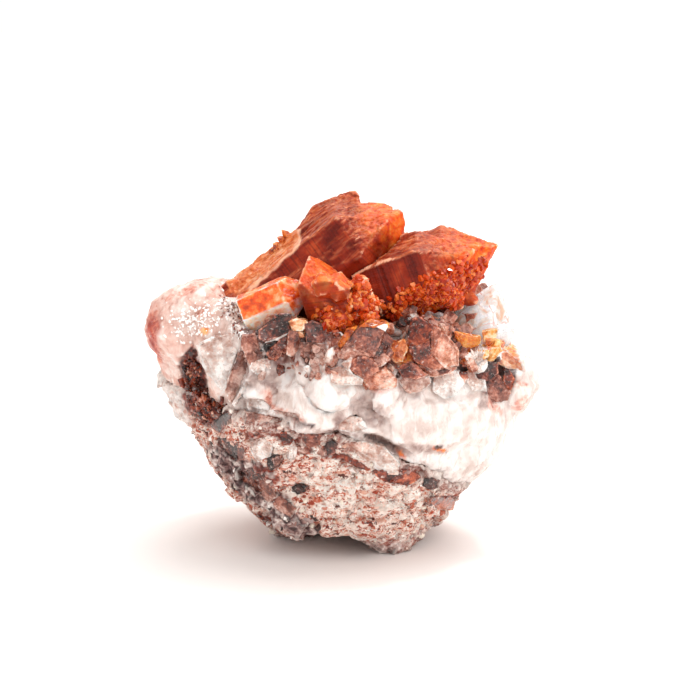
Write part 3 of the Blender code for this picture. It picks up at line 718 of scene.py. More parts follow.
def tree_of(*pieces):
    """A search tree of the faces of these pieces, in millimetres."""
    points, faces, start = [], [], 0
    for piece in pieces:
        mesh = piece.object.data
        corners = np.empty(len(mesh.polygons) * 4, np.int32)
        mesh.polygons.foreach_get("vertices", corners)
        points.append(piece.points)
        faces.append(corners.reshape(-1, 4) + start)
        start += len(piece.points)
    return BVHTree.FromPolygons(np.concatenate(points).tolist(), np.concatenate(faces).tolist())


def nearness(points, faces, reach):
    """1 where a point touches the faces and 0 from reach millimetres away."""
    found = [faces.find_nearest(Vector(p), reach)[3] for p in points]
    return np.array([0.0 if distance is None else 1 - distance / reach for distance in found])


vein_faces = tree_of(vein)
host_faces = tree_of(host)
x, y, z = vein.points.T
# painted shade on the quartz that is sunk behind the druse; no stain is laid there
shade_behind_druse = step_up(y + 1.5 * rough(vein.points, 2.5, seed=45), -17.5, -14.5)  # sunk behind the druse
shade_behind_druse *= step_up(z, 37.0, 38.5) * step_up(x, 3.0, 6.0)
shade_behind_druse *= 1 - step_up(np.maximum(x - 22.0, y - 2.0), 0.0, 3.0)
vein.store("edge", vein.edges())
for name, places in STAINS_AND_SHADE.items():
    vein.store(name, patches(vein.points, places) * (1 - shade_behind_druse))
# contact: near the host, iron stain and painted shade in the join
vein.store("contact", nearness(vein.points, host_faces, 1.6))
vein.store("wedge", wedge)
# the gap mask is painted shade: behind the druse, and in the crevices round dark facets in the druse
vein.store("gap", np.where(shade_behind_druse > 0, 0.25 * shade_behind_druse, gap * step_up(z, 34.0, 38.0)))
vein.store("lobe", (1 - step_up(x + rough(vein.points, 4, seed=35), -22.0, -16.0)) * 0.9)
outward = -x + 0.8 * rough(vein.points, 3, seed=36)
outer = step_up(outward, 31.2, 32.6) * (1 - 0.8 * step_up(outward, 33.6, 34.4))
vein.store("rim", outer * step_up(z, 31, 35) * step_up(-z, -45, -41))

# %% Stains of the host rock
MAUVE = (  # ovals as in STAINS_AND_SHADE
    (-20.8, 17.4, 3.4, 3, -52), (-17.2, 13.6, 5, 3.4, -52), (-12.7, 10.2, 5.5, 3.2, -45),
    (-8.6, 7.4, 4.5, 2.4, -30), (-14, 17, 2.4, 1.8, -30),
)
MAROON = (
    (-0.8, 20.4, 2.6, 0.8, -8), (6.6, 17.6, 1.4, 0.7, -10), (11, 16.6, 1.7, 1.4, 20),
    (-13.2, 16.4, 2.2, 1.6, -20), (18.4, 9.8, 2, 1.2, -10), (-6.4, 21.4, 1.6, 0.8, 0),
    (-9.8, 24, 2.6, 0.8, -10), (-15, 23.4, 2.2, 1.2, -20), (-23.8, 25, 3.2, 2.2, -30),
    (-26.8, 28, 2, 3.4, 12),
)
# painted shade at the foot, where the rock meets the floor, drawn in the colours of the wedge
PAINTED_FOOT_SHADE = ((-8.8, 1.2, 4.2, 1.5, -12), (1, 3.2, 3.4, 0.7, -6), (-13.2, 5.6, 3.6, 1.2, -40))

x, _, z = host.points.T
# painted shade along the bottom few millimetres
painted_low_shade = 1 - step_up(z + 2.5 * rough(host.points, 5, seed=4), 0.5, 5.0)
low_front = 1 - step_up(z + 2 * rough(host.points, 6, seed=9), 7.0, 14.0)
left_parts = 1 - step_up(x + 3 * rough(host.points, 6, seed=6), -19.0, 2.0)
rim_parts = step_up(-x + rough(host.points, 4, seed=15), 26.5, 29.0)
for name, values in {
    "edge": host.edges(),
    # dark: the mauve band, and painted shade at the bottom
    "dark": np.maximum(painted_low_shade * 0.9, patches(host.points, MAUVE)),
    "pink": np.maximum(left_parts, 0.7 * low_front),
    "maroon": patches(host.points, MAROON),
    # wedge: the iron oxide of the hollow, and painted shade at the foot
    "wedge": np.maximum(ragged_areas(host.points, WEDGE), patches(host.points, PAINTED_FOOT_SHADE)),
    "rim": rim_parts * step_up(z, 17.0, 21.0),
    # contact: near the vein, iron stain and painted shade in the join
    "contact": nearness(host.points, vein_faces, 4.0),
}.items():
    host.store(name, values)

# %% [markdown]
# ## Materials
#
# Each material is one principled shader. Its patterns lie in the object's own coordinates, turned
# to millimetres, so that each has the size it has in the stone. Stains, painted shade in the hollows
# with pale edges that are part wear and part painted highlight, and the way quartz takes light in
# are the same in several materials, so each of these is a function.

# %% Material helpers
QUARTZ_IOR = 1.544


def new_material(name):
    """(material, what adds nodes to it, its Principled shader, coordinates in millimetres)."""
    made = bpy.data.materials.new(name)
    made.use_nodes = True
    add = partial(add_node, made.node_tree)
    in_mm = add("stretch", add("place"), (1 / MM,) * 3)
    return made, add, made.node_tree.nodes["Principled BSDF"], in_mm


def stains_and_painted_light(add, place, colours, name, size, stops, strength=1.0):
    """colours with the stored mask of that name on them, mottled over about size millimetres. Most masks
    are stains; some paint light and some paint shade.
    """
    mottled = add("ramp", add("noise", place, 1 / size, 5, 0.6, 0.5), stops)
    share = add("MULTIPLY", add("stored", attribute_name=name), strength)
    return add("mix", share, colours, mottled)


def shaded_hollows_and_pale_edges(add, colours, hollow, edge, strength=0.6):
    """colours, with painted shade in the hollows, and paler edges that stand out, as wear and a painted
    highlight.
    """
    shape = add("stored", attribute_name="edge")
    in_hollow = add("range", shape, 0.47, 0.33, 0, strength)
    pale_edge_wear_and_highlight = add("range", shape, 0.55, 0.68, 0, strength)
    return add("mix", pale_edge_wear_and_highlight, add("mix", in_hollow, colours, colour(hollow)), colour(edge))


def stone(shader, colours, roughness, relief, specular, weight=0.0, radius=(1, 1, 1), **others):
    """Quartz reflects little. Light that enters it leaves up to radius millimetres away.

    relief is a height and how many millimetres a height of 1 stands out.
    """
    if relief:
        height, depth = relief
        others["Normal"] = add_node(shader.id_data, "bump", height, depth * MM, 1)
    named = {"Base Color": colours, "Roughness": roughness, "Specular IOR Level": specular}
    inside = {"Subsurface Weight": weight, "Subsurface Radius": radius, "Subsurface Scale": MM}
    fill(shader, {**named, "IOR": QUARTZ_IOR, **inside, **others})

# %% [markdown]
# ## Breccia
#
# It is pale feldspar and quartz in grains of 0.3 to 1.5 mm, and iron oxide stains what is between
# them brick red. Voronoi cells of two sizes draw the grains, and noise bends the cells so that no
# border is straight. The grains lie in streaks, along which the rock once flowed.

# %% Breccia
GRAIN, FINE_GRAIN, WOBBLE = 0.6, 0.27, 5 / 7  # mm
STREAK_FALL = math.radians(24)  # below the horizon, to the right

PALE_GRAINS = (
    (0.0, "#fff8f0"), (0.25, "#f4e6db"), (0.42, "#e2d0c4"), (0.55, "#fbeee4"),
    (0.7, "#efc6b5"), (0.84, "#d18a74"), (0.94, "#96756c"),
)
RED_GRAINS = (
    (0.0, "#fae4d8"), (0.25, "#e4ac96"), (0.45, "#f0d8cb"),
    (0.6, "#c8694d"), (0.8, "#a4402a"), (0.93, "#65372f"),
)
# the contact with the vein: its iron stain, and painted shade in the join
CONTACT_ROCK = ((0.3, "#2e1715"), (0.42, "#6a2a22"), (0.5, "#a56a5c"), (0.58, "#c9b3ab"), (0.7, "#ece0da"))
BRECCIA_STAINS = (  # name, mottled over how many mm, strength, and its colours from dark to pale
    ("rim", 1.4, 0.95, ((0.36, "#d3a091"), (0.46, "#eeddd5"), (0.56, "#fbf3ef"))),
    # dark: the mauve band, and painted shade at the bottom
    ("dark", 1.9, 0.95, (
        (0.38, "#221416"), (0.44, "#5b4042"), (0.5, "#94746f"), (0.56, "#c0a29b"), (0.64, "#f6e9e3"))),
    ("maroon", 0.8, 0.9, ((0.34, "#2c0f0c"), (0.48, "#6d2217"), (0.6, "#a2422c"), (0.72, "#d39b88"))),
    # wedge: the iron oxide of the hollow, and painted shade at the foot
    ("wedge", 0.7, 1, (
        (0.36, "#1d0806"), (0.45, "#52170c"), (0.53, "#782b1a"), (0.61, "#a34b31"), (0.7, "#e0a288"))),
)

breccia, add, shader, place = new_material("iron-stained breccia, broken")
streaks = add("turn", place, (0, -STREAK_FALL, 0), (0.45, 1, 1))
bent = add("bend", add("noise colour", place, 1 / WOBBLE, 3), (1.3,) * 3, streaks)
big_value = add("red part", add("cells", bent, 1 / GRAIN))
fine_value = add("red part", add("cells", bent, 1 / FINE_GRAIN))
both_rocks = []
for patch, stops in ((1.6, PALE_GRAINS), (1.3, RED_GRAINS)):  # patches of large and of small grains
    which = add("range", add("noise", streaks, 1 / patch, 3, 0.55), 0.47, 0.53)
    sizes = [add("steps", value, stops) for value in (big_value, fine_value)]
    both_rocks.append(add("mix", which, *sizes))
pinker = add("range", add("stored", attribute_name="pink"), 0, 1, 0, 0.12)
reddish = add("ADD", add("noise", bent, 1 / 1.8, 5, 0.7), pinker)
colours = add("mix", add("range", reddish, 0.49, 0.56), *both_rocks)
clutter = add("noise", place, 1 / 1.4, 4, 0.7)
# near the vein, the contact colours: iron stain, and painted shade in the join
clutter = add("ADD", add("stored", attribute_name="contact"), clutter)
at_contact = add("ramp", add("noise", place, 1 / 0.9, 5, 0.7, 0.8), CONTACT_ROCK)
colours = add("mix", add("range", clutter, 0.85, 1.1, 0, 0.85), colours, at_contact)
for name, size, strength, stops in BRECCIA_STAINS:
    colours = stains_and_painted_light(add, place, colours, name, size, stops, strength)
# painted shade in the hollows; the pale edges are wear and a painted highlight
colours = shaded_hollows_and_pale_edges(add, colours, "#5d2e24", "#fdf3ea", 0.6)
height = add("ADD", fine_value, add("noise", place, 1 / 0.35, 3, 0.55))
stone(shader, colours, add("range", fine_value, 0, 1, 0.4, 0.8), (height, 0.22), 0.35)
host.finish(breccia, "host_rock")

# %% [markdown]
# ## Milky quartz
#
# Milky quartz is white because it is full of tiny bubbles and veils. Light goes a few millimetres
# into it, which is what subsurface scattering gives. The veils stand upright in the masses of the
# vein, so the noise that draws them is stretched in height.

# %% Colours of the quartz
MILKY_STAINS = (  # name, mottled over how many mm, strength, and its colours from dark to pale
    # contact: iron stain of the join, and painted shade where the vein meets the host
    ("contact", 1, 0.8, ((0.34, "#57302a"), (0.45, "#a98b84"), (0.55, "#d8c8c1"), (0.68, "#f1e8e3"))),
    # gap: painted shade behind the druse and round the dark facets
    ("gap", 0.9, 0.9, ((0.36, "#3a201c"), (0.48, "#6e4a43"), (0.58, "#9d7b73"), (0.7, "#e0cec7"))),
    ("lobe", 2.4, 0.9, ((0.34, "#c78873"), (0.44, "#dbaa99"), (0.54, "#e9c5b8"), (0.66, "#f7e4dc"))),
    ("smoky", 2.2, 0.85, (
        (0.3, "#6a4c47"), (0.42, "#96766f"), (0.52, "#b89f97"), (0.62, "#d3bfb7"), (0.74, "#efe4de"))),
    ("plum", 2.6, 0.95, (
        (0.3, "#35191a"), (0.44, "#5c332f"), (0.54, "#7d4f47"), (0.64, "#a0766b"), (0.76, "#d6b9ae"))),
    ("pink", 1.3, 0.8, ((0.3, "#a53a22"), (0.44, "#d58269"), (0.54, "#eab6a5"), (0.68, "#fbe6dc"))),
    ("orange", 1.3, 0.95, ((0.32, "#b73c0c"), (0.46, "#ea6f1c"), (0.56, "#f99b3b"), (0.7, "#fdc67c"))),
    # brown: iron stain, and painted shade in the cavity and the pocket
    ("brown", 0.9, 0.95, (
        (0.36, "#120403"), (0.48, "#38100a"), (0.57, "#5a2015"), (0.66, "#8d4837"), (0.78, "#d3a494"))),
    # black: painted shade in the cavity, the dents and the gaps
    ("black", 0.9, 0.95, ((0.4, "#080303"), (0.6, "#2a1513"))),
    ("rim", 1.6, 1, ((0.34, "#92240e"), (0.5, "#b8442a"), (0.64, "#dd8c72"))),
    ("wedge", 0.8, 1, (
        (0.34, "#1d0806"), (0.44, "#4f1409"), (0.53, "#742412"), (0.62, "#9a4127"), (0.72, "#dc9a80"))),
)


def tones(add, pale, rusty):
    """A colour from dark to pale for a value of 0 to 1, clear at a rust of 0 and amber at 1."""
    clear_tones = (
        (0.0, "#120b0b"), (0.15, "#462c28"), (0.3, "#72443a"), (0.45, "#9d695b"),
        (0.6, "#c2978a"), (0.75, "#e0c4b9"), (0.9, "#f4e8e2"), (1.0, "#fffdfb"),
    )
    rust_tones = (
        (0.0, "#140402"), (0.15, "#3e150d"), (0.3, "#772b1a"), (0.45, "#ad5336"),
        (0.6, "#d98465"), (0.75, "#efb39a"), (0.9, "#fadccb"), (1.0, "#fff3ea"),
    )
    amber_tones = (
        (0.0, "#240a02"), (0.2, "#6e2204"), (0.4, "#b9470a"), (0.6, "#ea761a"),
        (0.75, "#faa238"), (0.9, "#fdcd86"), (1.0, "#fff0cf"),
    )
    clear, rust, amber = (add("ramp", pale, stops) for stops in (clear_tones, rust_tones, amber_tones))
    colours = add("mix", add("range", rusty, 0, 0.5), clear, rust)
    return add("mix", add("range", rusty, 0.5, 1), colours, amber)


# %% Milky quartz
milky, add, shader, place = new_material("milky quartz, broken")
upright = add("stretch", place, (1, 1, 0.35))
veils = add("noise", upright, 1 / 1.5, 6, 0.6, 0.8)
clouds = add("noise", place, 1 / 5.0, 4, 0.5, 1)
colours = add("ramp", clouds, ((0.34, "#d8c6be"), (0.46, "#eaddd7"), (0.6, "#f6eeea")))
colours = add("mix", add("range", veils, 0.36, 0.46, 0.4, 0.0), colours, colour("#cdb6ae"))
colours = add("mix", add("range", veils, 0.54, 0.64, 0.0, 0.6), colours, colour("#fffcfa"))
for name, size, strength, stops in MILKY_STAINS:
    colours = stains_and_painted_light(add, place, colours, name, size, stops, strength)
# painted shade in the hollows; the pale edges are wear and a painted highlight
colours = shaded_hollows_and_pale_edges(add, colours, "#b98d80", "#fffdfb", 0.35)
height = add("ADD", add("noise", upright, 1 / 0.7, 4, 0.55), add("noise", place, 1 / 0.2, 3, 0.55))
roughness = add("range", veils, 0.35, 0.65, 0.18, 0.5)
stone(shader, colours, roughness, (height, 0.13), 0.5, 0.8, (2.2, 1.9, 1.8))
vein.finish(milky, "milky_quartz")

# %% [markdown]
# ## Large red crystals
#
# A quartz crystal is a six-sided prism with six sloping end faces. The prism faces carry fine
# growth lines across the long axis, and the other faces grew in thin plates, so they are stepped
# along it. The axis of each crystal is its solid's, so the lines and plates follow it.


# %% Growth of a crystal face
def axis_of(rise, toward):
    """A unit vector, from its angle above +X and how far it leans to the front, in degrees."""
    r, t = math.radians(rise), math.radians(toward)
    return np.array((math.cos(r) * math.cos(t), -math.sin(t), math.sin(r) * math.cos(t)))


def growth(piece, axis, lines, steps, seed):
    """Heights of growth lines on the prism faces, and of plates on their tops and the end faces."""
    along = piece.points @ axis
    facing = np.abs(piece.normals @ axis)
    upward = step_up(piece.normals[:, 2], 0.15, 0.45)
    stretched = piece.points - 0.68 * along[:, None] * axis
    phase = along + 0.35 * waves(stretched, 3.0, seed)
    fine = np.stack((phase, np.zeros_like(phase), np.zeros_like(phase)), axis=1)
    ribs = waves(fine, 0.55, seed + 1) + 0.7 * waves(fine, 1.7, seed + 2)
    ribs = ribs * (0.4 + 0.6 * step_up(waves(piece.points, 5.0, seed + 3), -0.5, 0.4))
    plates = np.floor(2.2 * rough(stretched, 3.2, seed + 4, octaves=2)) / 2.2
    plates += 0.5 * np.floor(2.0 * rough(stretched, 1.1, seed + 5, octaves=2)) / 2.0
    plated = np.maximum(upward, 0.5 * step_up(facing, 0.3, 0.5))
    return lines * ribs * (1 - plated) + steps * plates * plated


# %% Shapes of the red crystals
CRYSTAL_VOXEL = 0.26
LEFT_AXIS = axis_of(39.5, 4)
RIGHT_AXIS = axis_of(22, 6)
CENTRE_AXIS = axis_of(107, 4)

left = fine_piece("red_crystals_on_the_left", "red_crystals_left", CRYSTAL_VOXEL)
left.melt(0.9, 8)
left.move(0.1 + growth(left, LEFT_AXIS, 0.07, 0.5, seed=51))
right = fine_piece("red_crystal_on_the_right", "red_crystals_right", CRYSTAL_VOXEL)
right.melt(0.8, 5)
right.move(0.1 + growth(right, RIGHT_AXIS, 0.07, 0.5, seed=61))
centre = fine_piece("red_crystal_in_the_centre", "red_crystal_centre", CRYSTAL_VOXEL)
centre.move(0.05 + growth(centre, CENTRE_AXIS, 0.06, 0.18, seed=71))

# %% [markdown]
# ## Hematite quartz
#
# Hematite, the red iron oxide, lies in the outer layers of these crystals. It is thin at the ends
# and on the tops, and thick in the prism faces, which look maroon. Light is painted in: the tops are
# painted paler, as lit from above, the ends glow orange as if light came through them, and the
# undersides are painted a warmer red. So each point stores how near the end it is and which way it
# faces. The left group has an older, amber part at its foot, with a painted highlight along its
# lower border.

# %% Stains of the red crystals
ALONG = 60.0  # mm along the axis for a stored value of 1
GLOW_REACH = ((left, LEFT_AXIS, 8.0), (right, RIGHT_AXIS, 12.0), (centre, CENTRE_AXIS, 11.0))  # mm

for piece, axis, tip in GLOW_REACH:
    along = piece.points @ axis
    _, _, upward = piece.normals.T
    top = step_up(upward + 0.1 * rough(piece.points, 2, seed=5), 0.2, 0.6)
    end = along.max() - along + 1.5 * rough(piece.points, 4, seed=6)
    near_tip = 1 - step_up(end, tip * 0.25, tip)
    end_facing = step_up(piece.normals @ axis, 0.2, 0.6)
    piece.store_places("grain", piece.points - 0.8 * along[:, None] * axis)
    piece.store("along", (along - along.min()) / ALONG)
    piece.store("edge", piece.edges())
    # painted light: the tops paler as lit from above, the end glowing orange, and the undersides a warmer
    # red
    piece.store("top", top * (0.72 if piece is centre else 0.94))
    piece.store("tip", near_tip * (0.3 + 0.7 * end_facing) * (0.75 if piece is centre else 0.9))
    piece.store("under", step_up(-upward + 0.2 * rough(piece.points, 2, seed=7), 0.3, 0.8))

AMBER_PART = (  # its corners on the front, x and z
    -20.8, 48.3, -17.4, 52.9, -11.6, 57.2, -8.4, 57.6, -7.8, 55.1, -13, 50.3, -17.8, 45.8, -20.1, 46
)
for piece in (left, right, centre):
    inside = inside_of(piece.points, AMBER_PART) + 0.3 * rough(piece.points, 1.5, seed=38)
    inside -= 2.0 * step_up(piece.points[:, 1] + rough(piece.points, 4, seed=39), 0.0, 4.0)
    piece.store("amber", step_up(inside, -0.2, 0.2))
    # a painted highlight along the lower border of the amber part, on the crest
    lower_border_highlight = step_up(inside, -0.55, -0.2) * (1 - step_up(inside, 0.0, 0.25))
    lower_border_highlight *= step_up(piece.points[:, 0] - 0.9 * (piece.points[:, 2] - 50.3), -14.5, -13.5)
    piece.store("crest_highlight", lower_border_highlight)

# %% Hematite quartz
LINE_SPACING = 0.45  # mm

hematite, add, shader, place = new_material("hematite quartz, grown")
grain = add("stored place", attribute_name="grain")
cloud = add("noise", place, 1 / 3.4, 3, 0.5)
distance = add("MULTIPLY", add("stored", attribute_name="along"), ALONG)
lines = add("lines", distance, 1 / LINE_SPACING, 3)
body = add("ramp", cloud, ((0.36, "#64170b"), (0.48, "#83230f"), (0.6, "#9c3014"), (0.72, "#ba4a22")))
body = add("mix", add("range", lines, 0.52, 0.66, 0.0, 0.5), body, colour("#4a0f08"))
# painted glow: the ends orange, as if light came through them
glow = ((0.34, "#cc3004"), (0.45, "#f05208"), (0.56, "#ff7818"), (0.7, "#ffa858"))
# painted light: the tops paler, as lit from above
peach = ((0.34, "#6e1905"), (0.44, "#902b0b"), (0.53, "#aa3f18"), (0.62, "#c45e30"), (0.72, "#f0a174"))
colours = stains_and_painted_light(add, grain, body, "top", 0.8, peach, 0.9)
colours = stains_and_painted_light(add, place, colours, "tip", 1.8, glow, 0.9)
# painted light: the undersides a warmer red, as light seen through the crystal
under = add("range", add("stored", attribute_name="under"), 0, 1, 0, 0.6)
colours = add("mix", under, colours, colour("#b23a12"))
# painted shade in the hollows; the pale edges are wear and a painted highlight
colours = shaded_hollows_and_pale_edges(add, colours, "#4c0f05", "#f9a67c", 0.4)
amber_stops = ((0.36, "#b0460e"), (0.46, "#d46c34"), (0.56, "#e48c58"), (0.68, "#f8c6a6"))
colours = stains_and_painted_light(add, place, colours, "amber", 1.4, amber_stops, 0.9)
# painted highlights on the steps of the terraces on the tops
terraces = add("MULTIPLY", add("noise", grain, 1 / 2.2, 3, 0.5), 9.0)
terrace_highlights = add("range", add("FRACT", terraces), 0.0, 0.7, 0.3, 0.0)
terrace_highlights = add("MULTIPLY", terrace_highlights, add("stored", attribute_name="top"))
colours = add("mix", terrace_highlights, colours, colour("#f4a87e"))
# painted highlight along the crests and the lower border of the amber part
crest_highlight = add("range", add("stored", attribute_name="edge"), 0.6, 0.66, 0.0, 0.75)
crest_highlight = add("MAXIMUM", crest_highlight, add("MULTIPLY", add("stored", attribute_name="crest_highlight"), 0.8))
colours = add("mix", crest_highlight, colours, colour("#ffc4a2"))
ridges = add("ADD", add("noise", grain, 1 / 0.35, 4, 0.55), add("MULTIPLY", lines, 0.4))
ridges = add("ADD", ridges, add("MULTIPLY", add("FLOOR", terraces), 0.5))
roughness = add("range", cloud, 0.3, 0.7, 0.22, 0.45)
stone(shader, colours, roughness, (ridges, 0.14), 0.18, 0.15, (1.6, 0.35, 0.12))
for piece in (left, right, centre):
    piece.finish(hematite, "red_quartz")

# %% [markdown]
# ## Orange and clear crystals
#
# The orange crystal holds less hematite, so more light passes through it. The clear one at the
# right is see-through with white veils, and iron stains the cracks in it.

# %% Orange crystals
slab = fine_piece("orange_crystal_at_the_front", "orange_crystal", 0.2)
slab.move(0.05 + growth(slab, axis_of(24, 0), 0.04, 0.16, seed=81))
back = fine_piece("orange_crystals_at_the_back", "orange_crystals_back", 0.3)
back.move(0.05 + growth(back, axis_of(80, -36), 0.04, 0.2, seed=91))
for piece in (slab, back):
    piece.store("edge", piece.edges())
    # under: faces that look down, which are painted pale as light through the crystal
    piece.store("under", step_up(-piece.normals[:, 2] + 0.2 * rough(piece.points, 3, seed=7), -0.1, 0.3))

orange, add, shader, place = new_material("orange quartz, grown")
cloud = add("noise", place, 1 / 1.8, 5, 0.6)
colours = add(
    "ramp", cloud, ((0.34, "#b23408"), (0.45, "#e45710"), (0.55, "#f97f2e"), (0.68, "#ffbe94"))
)
# painted light: the undersides nearly white, as light that comes through the crystal
under = ((0.34, "#f8b48e"), (0.44, "#ffd6b8"), (0.54, "#ffeade"), (0.66, "#ffffff"))
colours = stains_and_painted_light(add, place, colours, "under", 1.1, under, 0.95)
# painted shade in the hollows; the bright edges are wear and a painted highlight
colours = shaded_hollows_and_pale_edges(add, colours, "#c26a42", "#fffaf6", 0.95)
roughness = add("range", cloud, 0.3, 0.7, 0.15, 0.4)
relief = (add("noise", place, 1 / 0.5, 4, 0.55), 0.1)
stone(shader, colours, roughness, relief, 0.5, 0.8, (3.5, 2.2, 1.6))
for piece in (slab, back):
    piece.finish(orange, "orange_quartz")

# %% Clear crystal
clear = fine_piece("clear_crystal_on_the_right", "clear_crystal", 0.3)
clear.move(0.1 + growth(clear, axis_of(66, -4), 0.05, 0.3, seed=95))
clear.store("edge", clear.edges())

CRACK_SPACING = 1 / 0.22  # mm

rock_crystal, add, shader, place = new_material("rock crystal, frosted")
cloud = add("noise", place, 1 / 2.6, 6, 0.6, 1)
colours = add(
    "ramp", cloud, ((0.36, "#f8bfa6"), (0.42, "#fee6da"), (0.48, "#fff8f4"), (0.6, "#ffffff"))
)
crack = add("range", add("borders", place, 1 / CRACK_SPACING), 0, 0.03, 0.8, 0)
crack = add("MULTIPLY", crack, add("range", cloud, 0.45, 0.52))
colours = add("mix", crack, colours, colour("#e2603a"))
roughness = add("range", cloud, 0.4, 0.6, 0.4, 0.12)
passing = {"Transmission Weight": add("range", cloud, 0.4, 0.62, 0.3, 0.05)}
relief = (add("noise", place, 1 / 0.6, 4, 0.55), 0.15)
stone(shader, colours, roughness, relief, 0.5, 0.9, (12.0, 10.5, 9.5), **passing)
clear.finish(rock_crystal, "clear_quartz")

# %% [markdown]
# ## Small crystals
#
# The druse, the crusts and the sugary bands are hundreds of small crystals. A few template
# crystals are cut from a block by planes, as the facets of a real one lie, and copies of them
# are turned, stretched and set on the surface where a ray meets it. They are joined in one mesh.

# %% Template crystals
RHOMB_TILT = math.radians(51.8)  # of an end face, from the long axis
TEMPLATES = 14
# the paler border is a painted highlight along the edges
EDGE_HIGHLIGHT_WIDTH = 0.07  # width of the paler border of a facet, as a share of the crystal's radius


def template(rng, rimmed):
    """(points, faces, rims) of a crystal of radius 1 and height 2 that stands on the origin.

    The third is 1 on the edges of the crystal, where a highlight is painted, and 0 inside a facet, where
    the crystal is rimmed.
    """
    bm = bmesh.new()
    bmesh.ops.create_cube(bm, size=6)
    planes = [(Vector((0, 0, -1)), 1.0)]
    for k in range(6):
        side = Vector((math.cos(math.tau * k / 6), math.sin(math.tau * k / 6), 0))
        planes.append((side, rng.uniform(0.6, 1.0)))
        end = Vector((0, 0, math.cos(RHOMB_TILT))) + side * math.sin(RHOMB_TILT)
        planes.append((end, rng.uniform(1.2, 2.5) * math.cos(RHOMB_TILT)))
    for normal, distance in planes:
        cut = bmesh.ops.bisect_plane(
            bm,
            geom=bm.verts[:] + bm.edges[:] + bm.faces[:],
            plane_co=normal * distance,
            plane_no=normal,
            clear_outer=True,
        )
        edges = [g for g in cut["geom_cut"] if isinstance(g, bmesh.types.BMEdge)]
        if edges:
            bmesh.ops.contextual_create(bm, geom=edges)
    bmesh.ops.remove_doubles(bm, verts=bm.verts[:], dist=0.02)
    outer = len(bm.verts)
    if rimmed:
        bmesh.ops.inset_individual(bm, faces=bm.faces[:], thickness=EDGE_HIGHLIGHT_WIDTH, use_even_offset=True)
    bmesh.ops.triangulate(bm, faces=bm.faces[:])
    points = np.array([v.co for v in bm.verts])
    faces = np.array([[v.index for v in f.verts] for f in bm.faces])
    bm.free()
    return points, faces, np.where(np.arange(len(points)) < outer, 1.0, 0.0)


maker = np.random.default_rng(5)
TEMPLATE_SETS = {
    rimmed: [template(maker, rimmed) for _ in range(TEMPLATES)] for rimmed in (True, False)
}


# %% Scattering
class Scatter:
    """Small crystals and facets gathered for one joined mesh."""

    def __init__(self, name, seed, rimmed=False):
        self.name = name
        self.rng = np.random.default_rng(seed)
        self.templates = TEMPLATE_SETS[rimmed]
        self.points, self.faces, self.values, self.count = [], [], [], 0

    def gather(self, points, faces, edge_highlights, pale, rusty):
        """Adds a closed shape. A tone is one value, or one for each of its points."""
        self.points.append(points)
        self.faces.append(np.array(faces) + self.count)
        values = [np.broadcast_to(value, len(points)) for value in (edge_highlights, pale, rusty)]
        self.values.append(np.column_stack(values))
        self.count += len(points)

    def grow(self, foot, axis, radius, length, sink=0.3, pale=None, rusty=0.0):
        """One crystal of that radius; length is how far it stands out of the surface."""
        points, faces, edge_highlights = self.templates[self.rng.integers(len(self.templates))]
        turn = Vector(axis).normalized().to_track_quat("Z", "Y").to_matrix()
        spin = Matrix.Rotation(self.rng.uniform(0, math.tau), 3, "Z")
        shape = points * (radius, radius * self.rng.uniform(0.75, 1.0), length / 2 * (1 + sink))
        placed = shape @ np.array(turn @ spin).T + np.array(foot) - np.array(axis) * length * sink
        self.gather(placed, faces, edge_highlights, self.rng.random() if pale is None else pale, rusty)

    def facet(self, depth, slope, pale, rusty, corners):
        """One broken crystal whose flat end is a polygon on the front, with a bevel round it."""
        outline = np.reshape(corners, (-1, 2)).astype(float)
        count = len(outline)
        middle = outline.mean(axis=0)
        reach = np.linalg.norm(outline - middle, axis=1, keepdims=True)
        rings = []
        for inset, back in FACET_RINGS:
            ring = outline + (middle - outline) / reach * min(inset, 0.4 * reach.min())
            places = np.column_stack((ring[:, 0], np.zeros(count), ring[:, 1]))
            places[:, 1] = depth_of(places, corners, depth, slope) + back
            rings.append(places)
        faces = []
        for ring in range(len(rings) - 1):
            for i in range(count):
                a, b = ring * count + i, ring * count + (i + 1) % count
                faces += [(a, b, b + count), (a, b + count, a + count)]
        last = (len(rings) - 1) * count
        faces += [(0, i + 1, i) for i in range(1, count - 1)]
        faces += [(last, last + i, last + i + 1) for i in range(1, count - 1)]
        # the outline and the bevel carry the painted edge highlight
        edge_highlights = np.repeat([0.0, 1.0, 1.0, 0.0], count)
        points = np.concatenate(rings)
        # painted light: each facet is paler toward LIGHT_SIDE
        across = (points[:, [0, 2]] - middle) @ np.array(LIGHT_SIDE) / reach.max()
        self.gather(points, faces, edge_highlights, pale + SHADING * across, rusty)

    def finish(self, material, slot):
        mesh = bpy.data.meshes.new(self.name)
        points, faces = np.concatenate(self.points), np.concatenate(self.faces)
        points[:, 2] = np.maximum(points[:, 2], 0)
        mesh.from_pydata((points * MM).tolist(), [], faces.tolist())
        bm = bmesh.new()
        bm.from_mesh(mesh)
        bmesh.ops.recalc_face_normals(bm, faces=bm.faces[:])
        bm.to_mesh(mesh)
        bm.free()
        # rim holds where the painted edge highlight goes
        for name, values in zip(("rim", "pale", "rusty"), np.concatenate(self.values).T):
            stored = mesh.attributes.new(name, "FLOAT", "POINT")
            stored.data.foreach_set("value", values.astype(np.float32))
        mesh.materials.append(material)
        made = bpy.data.objects.new(self.name, mesh)
        bpy.context.scene.collection.objects.link(made)
        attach(made, "root")
        print(self.name, len(self.points), "crystals,", len(faces), "faces")
        return made


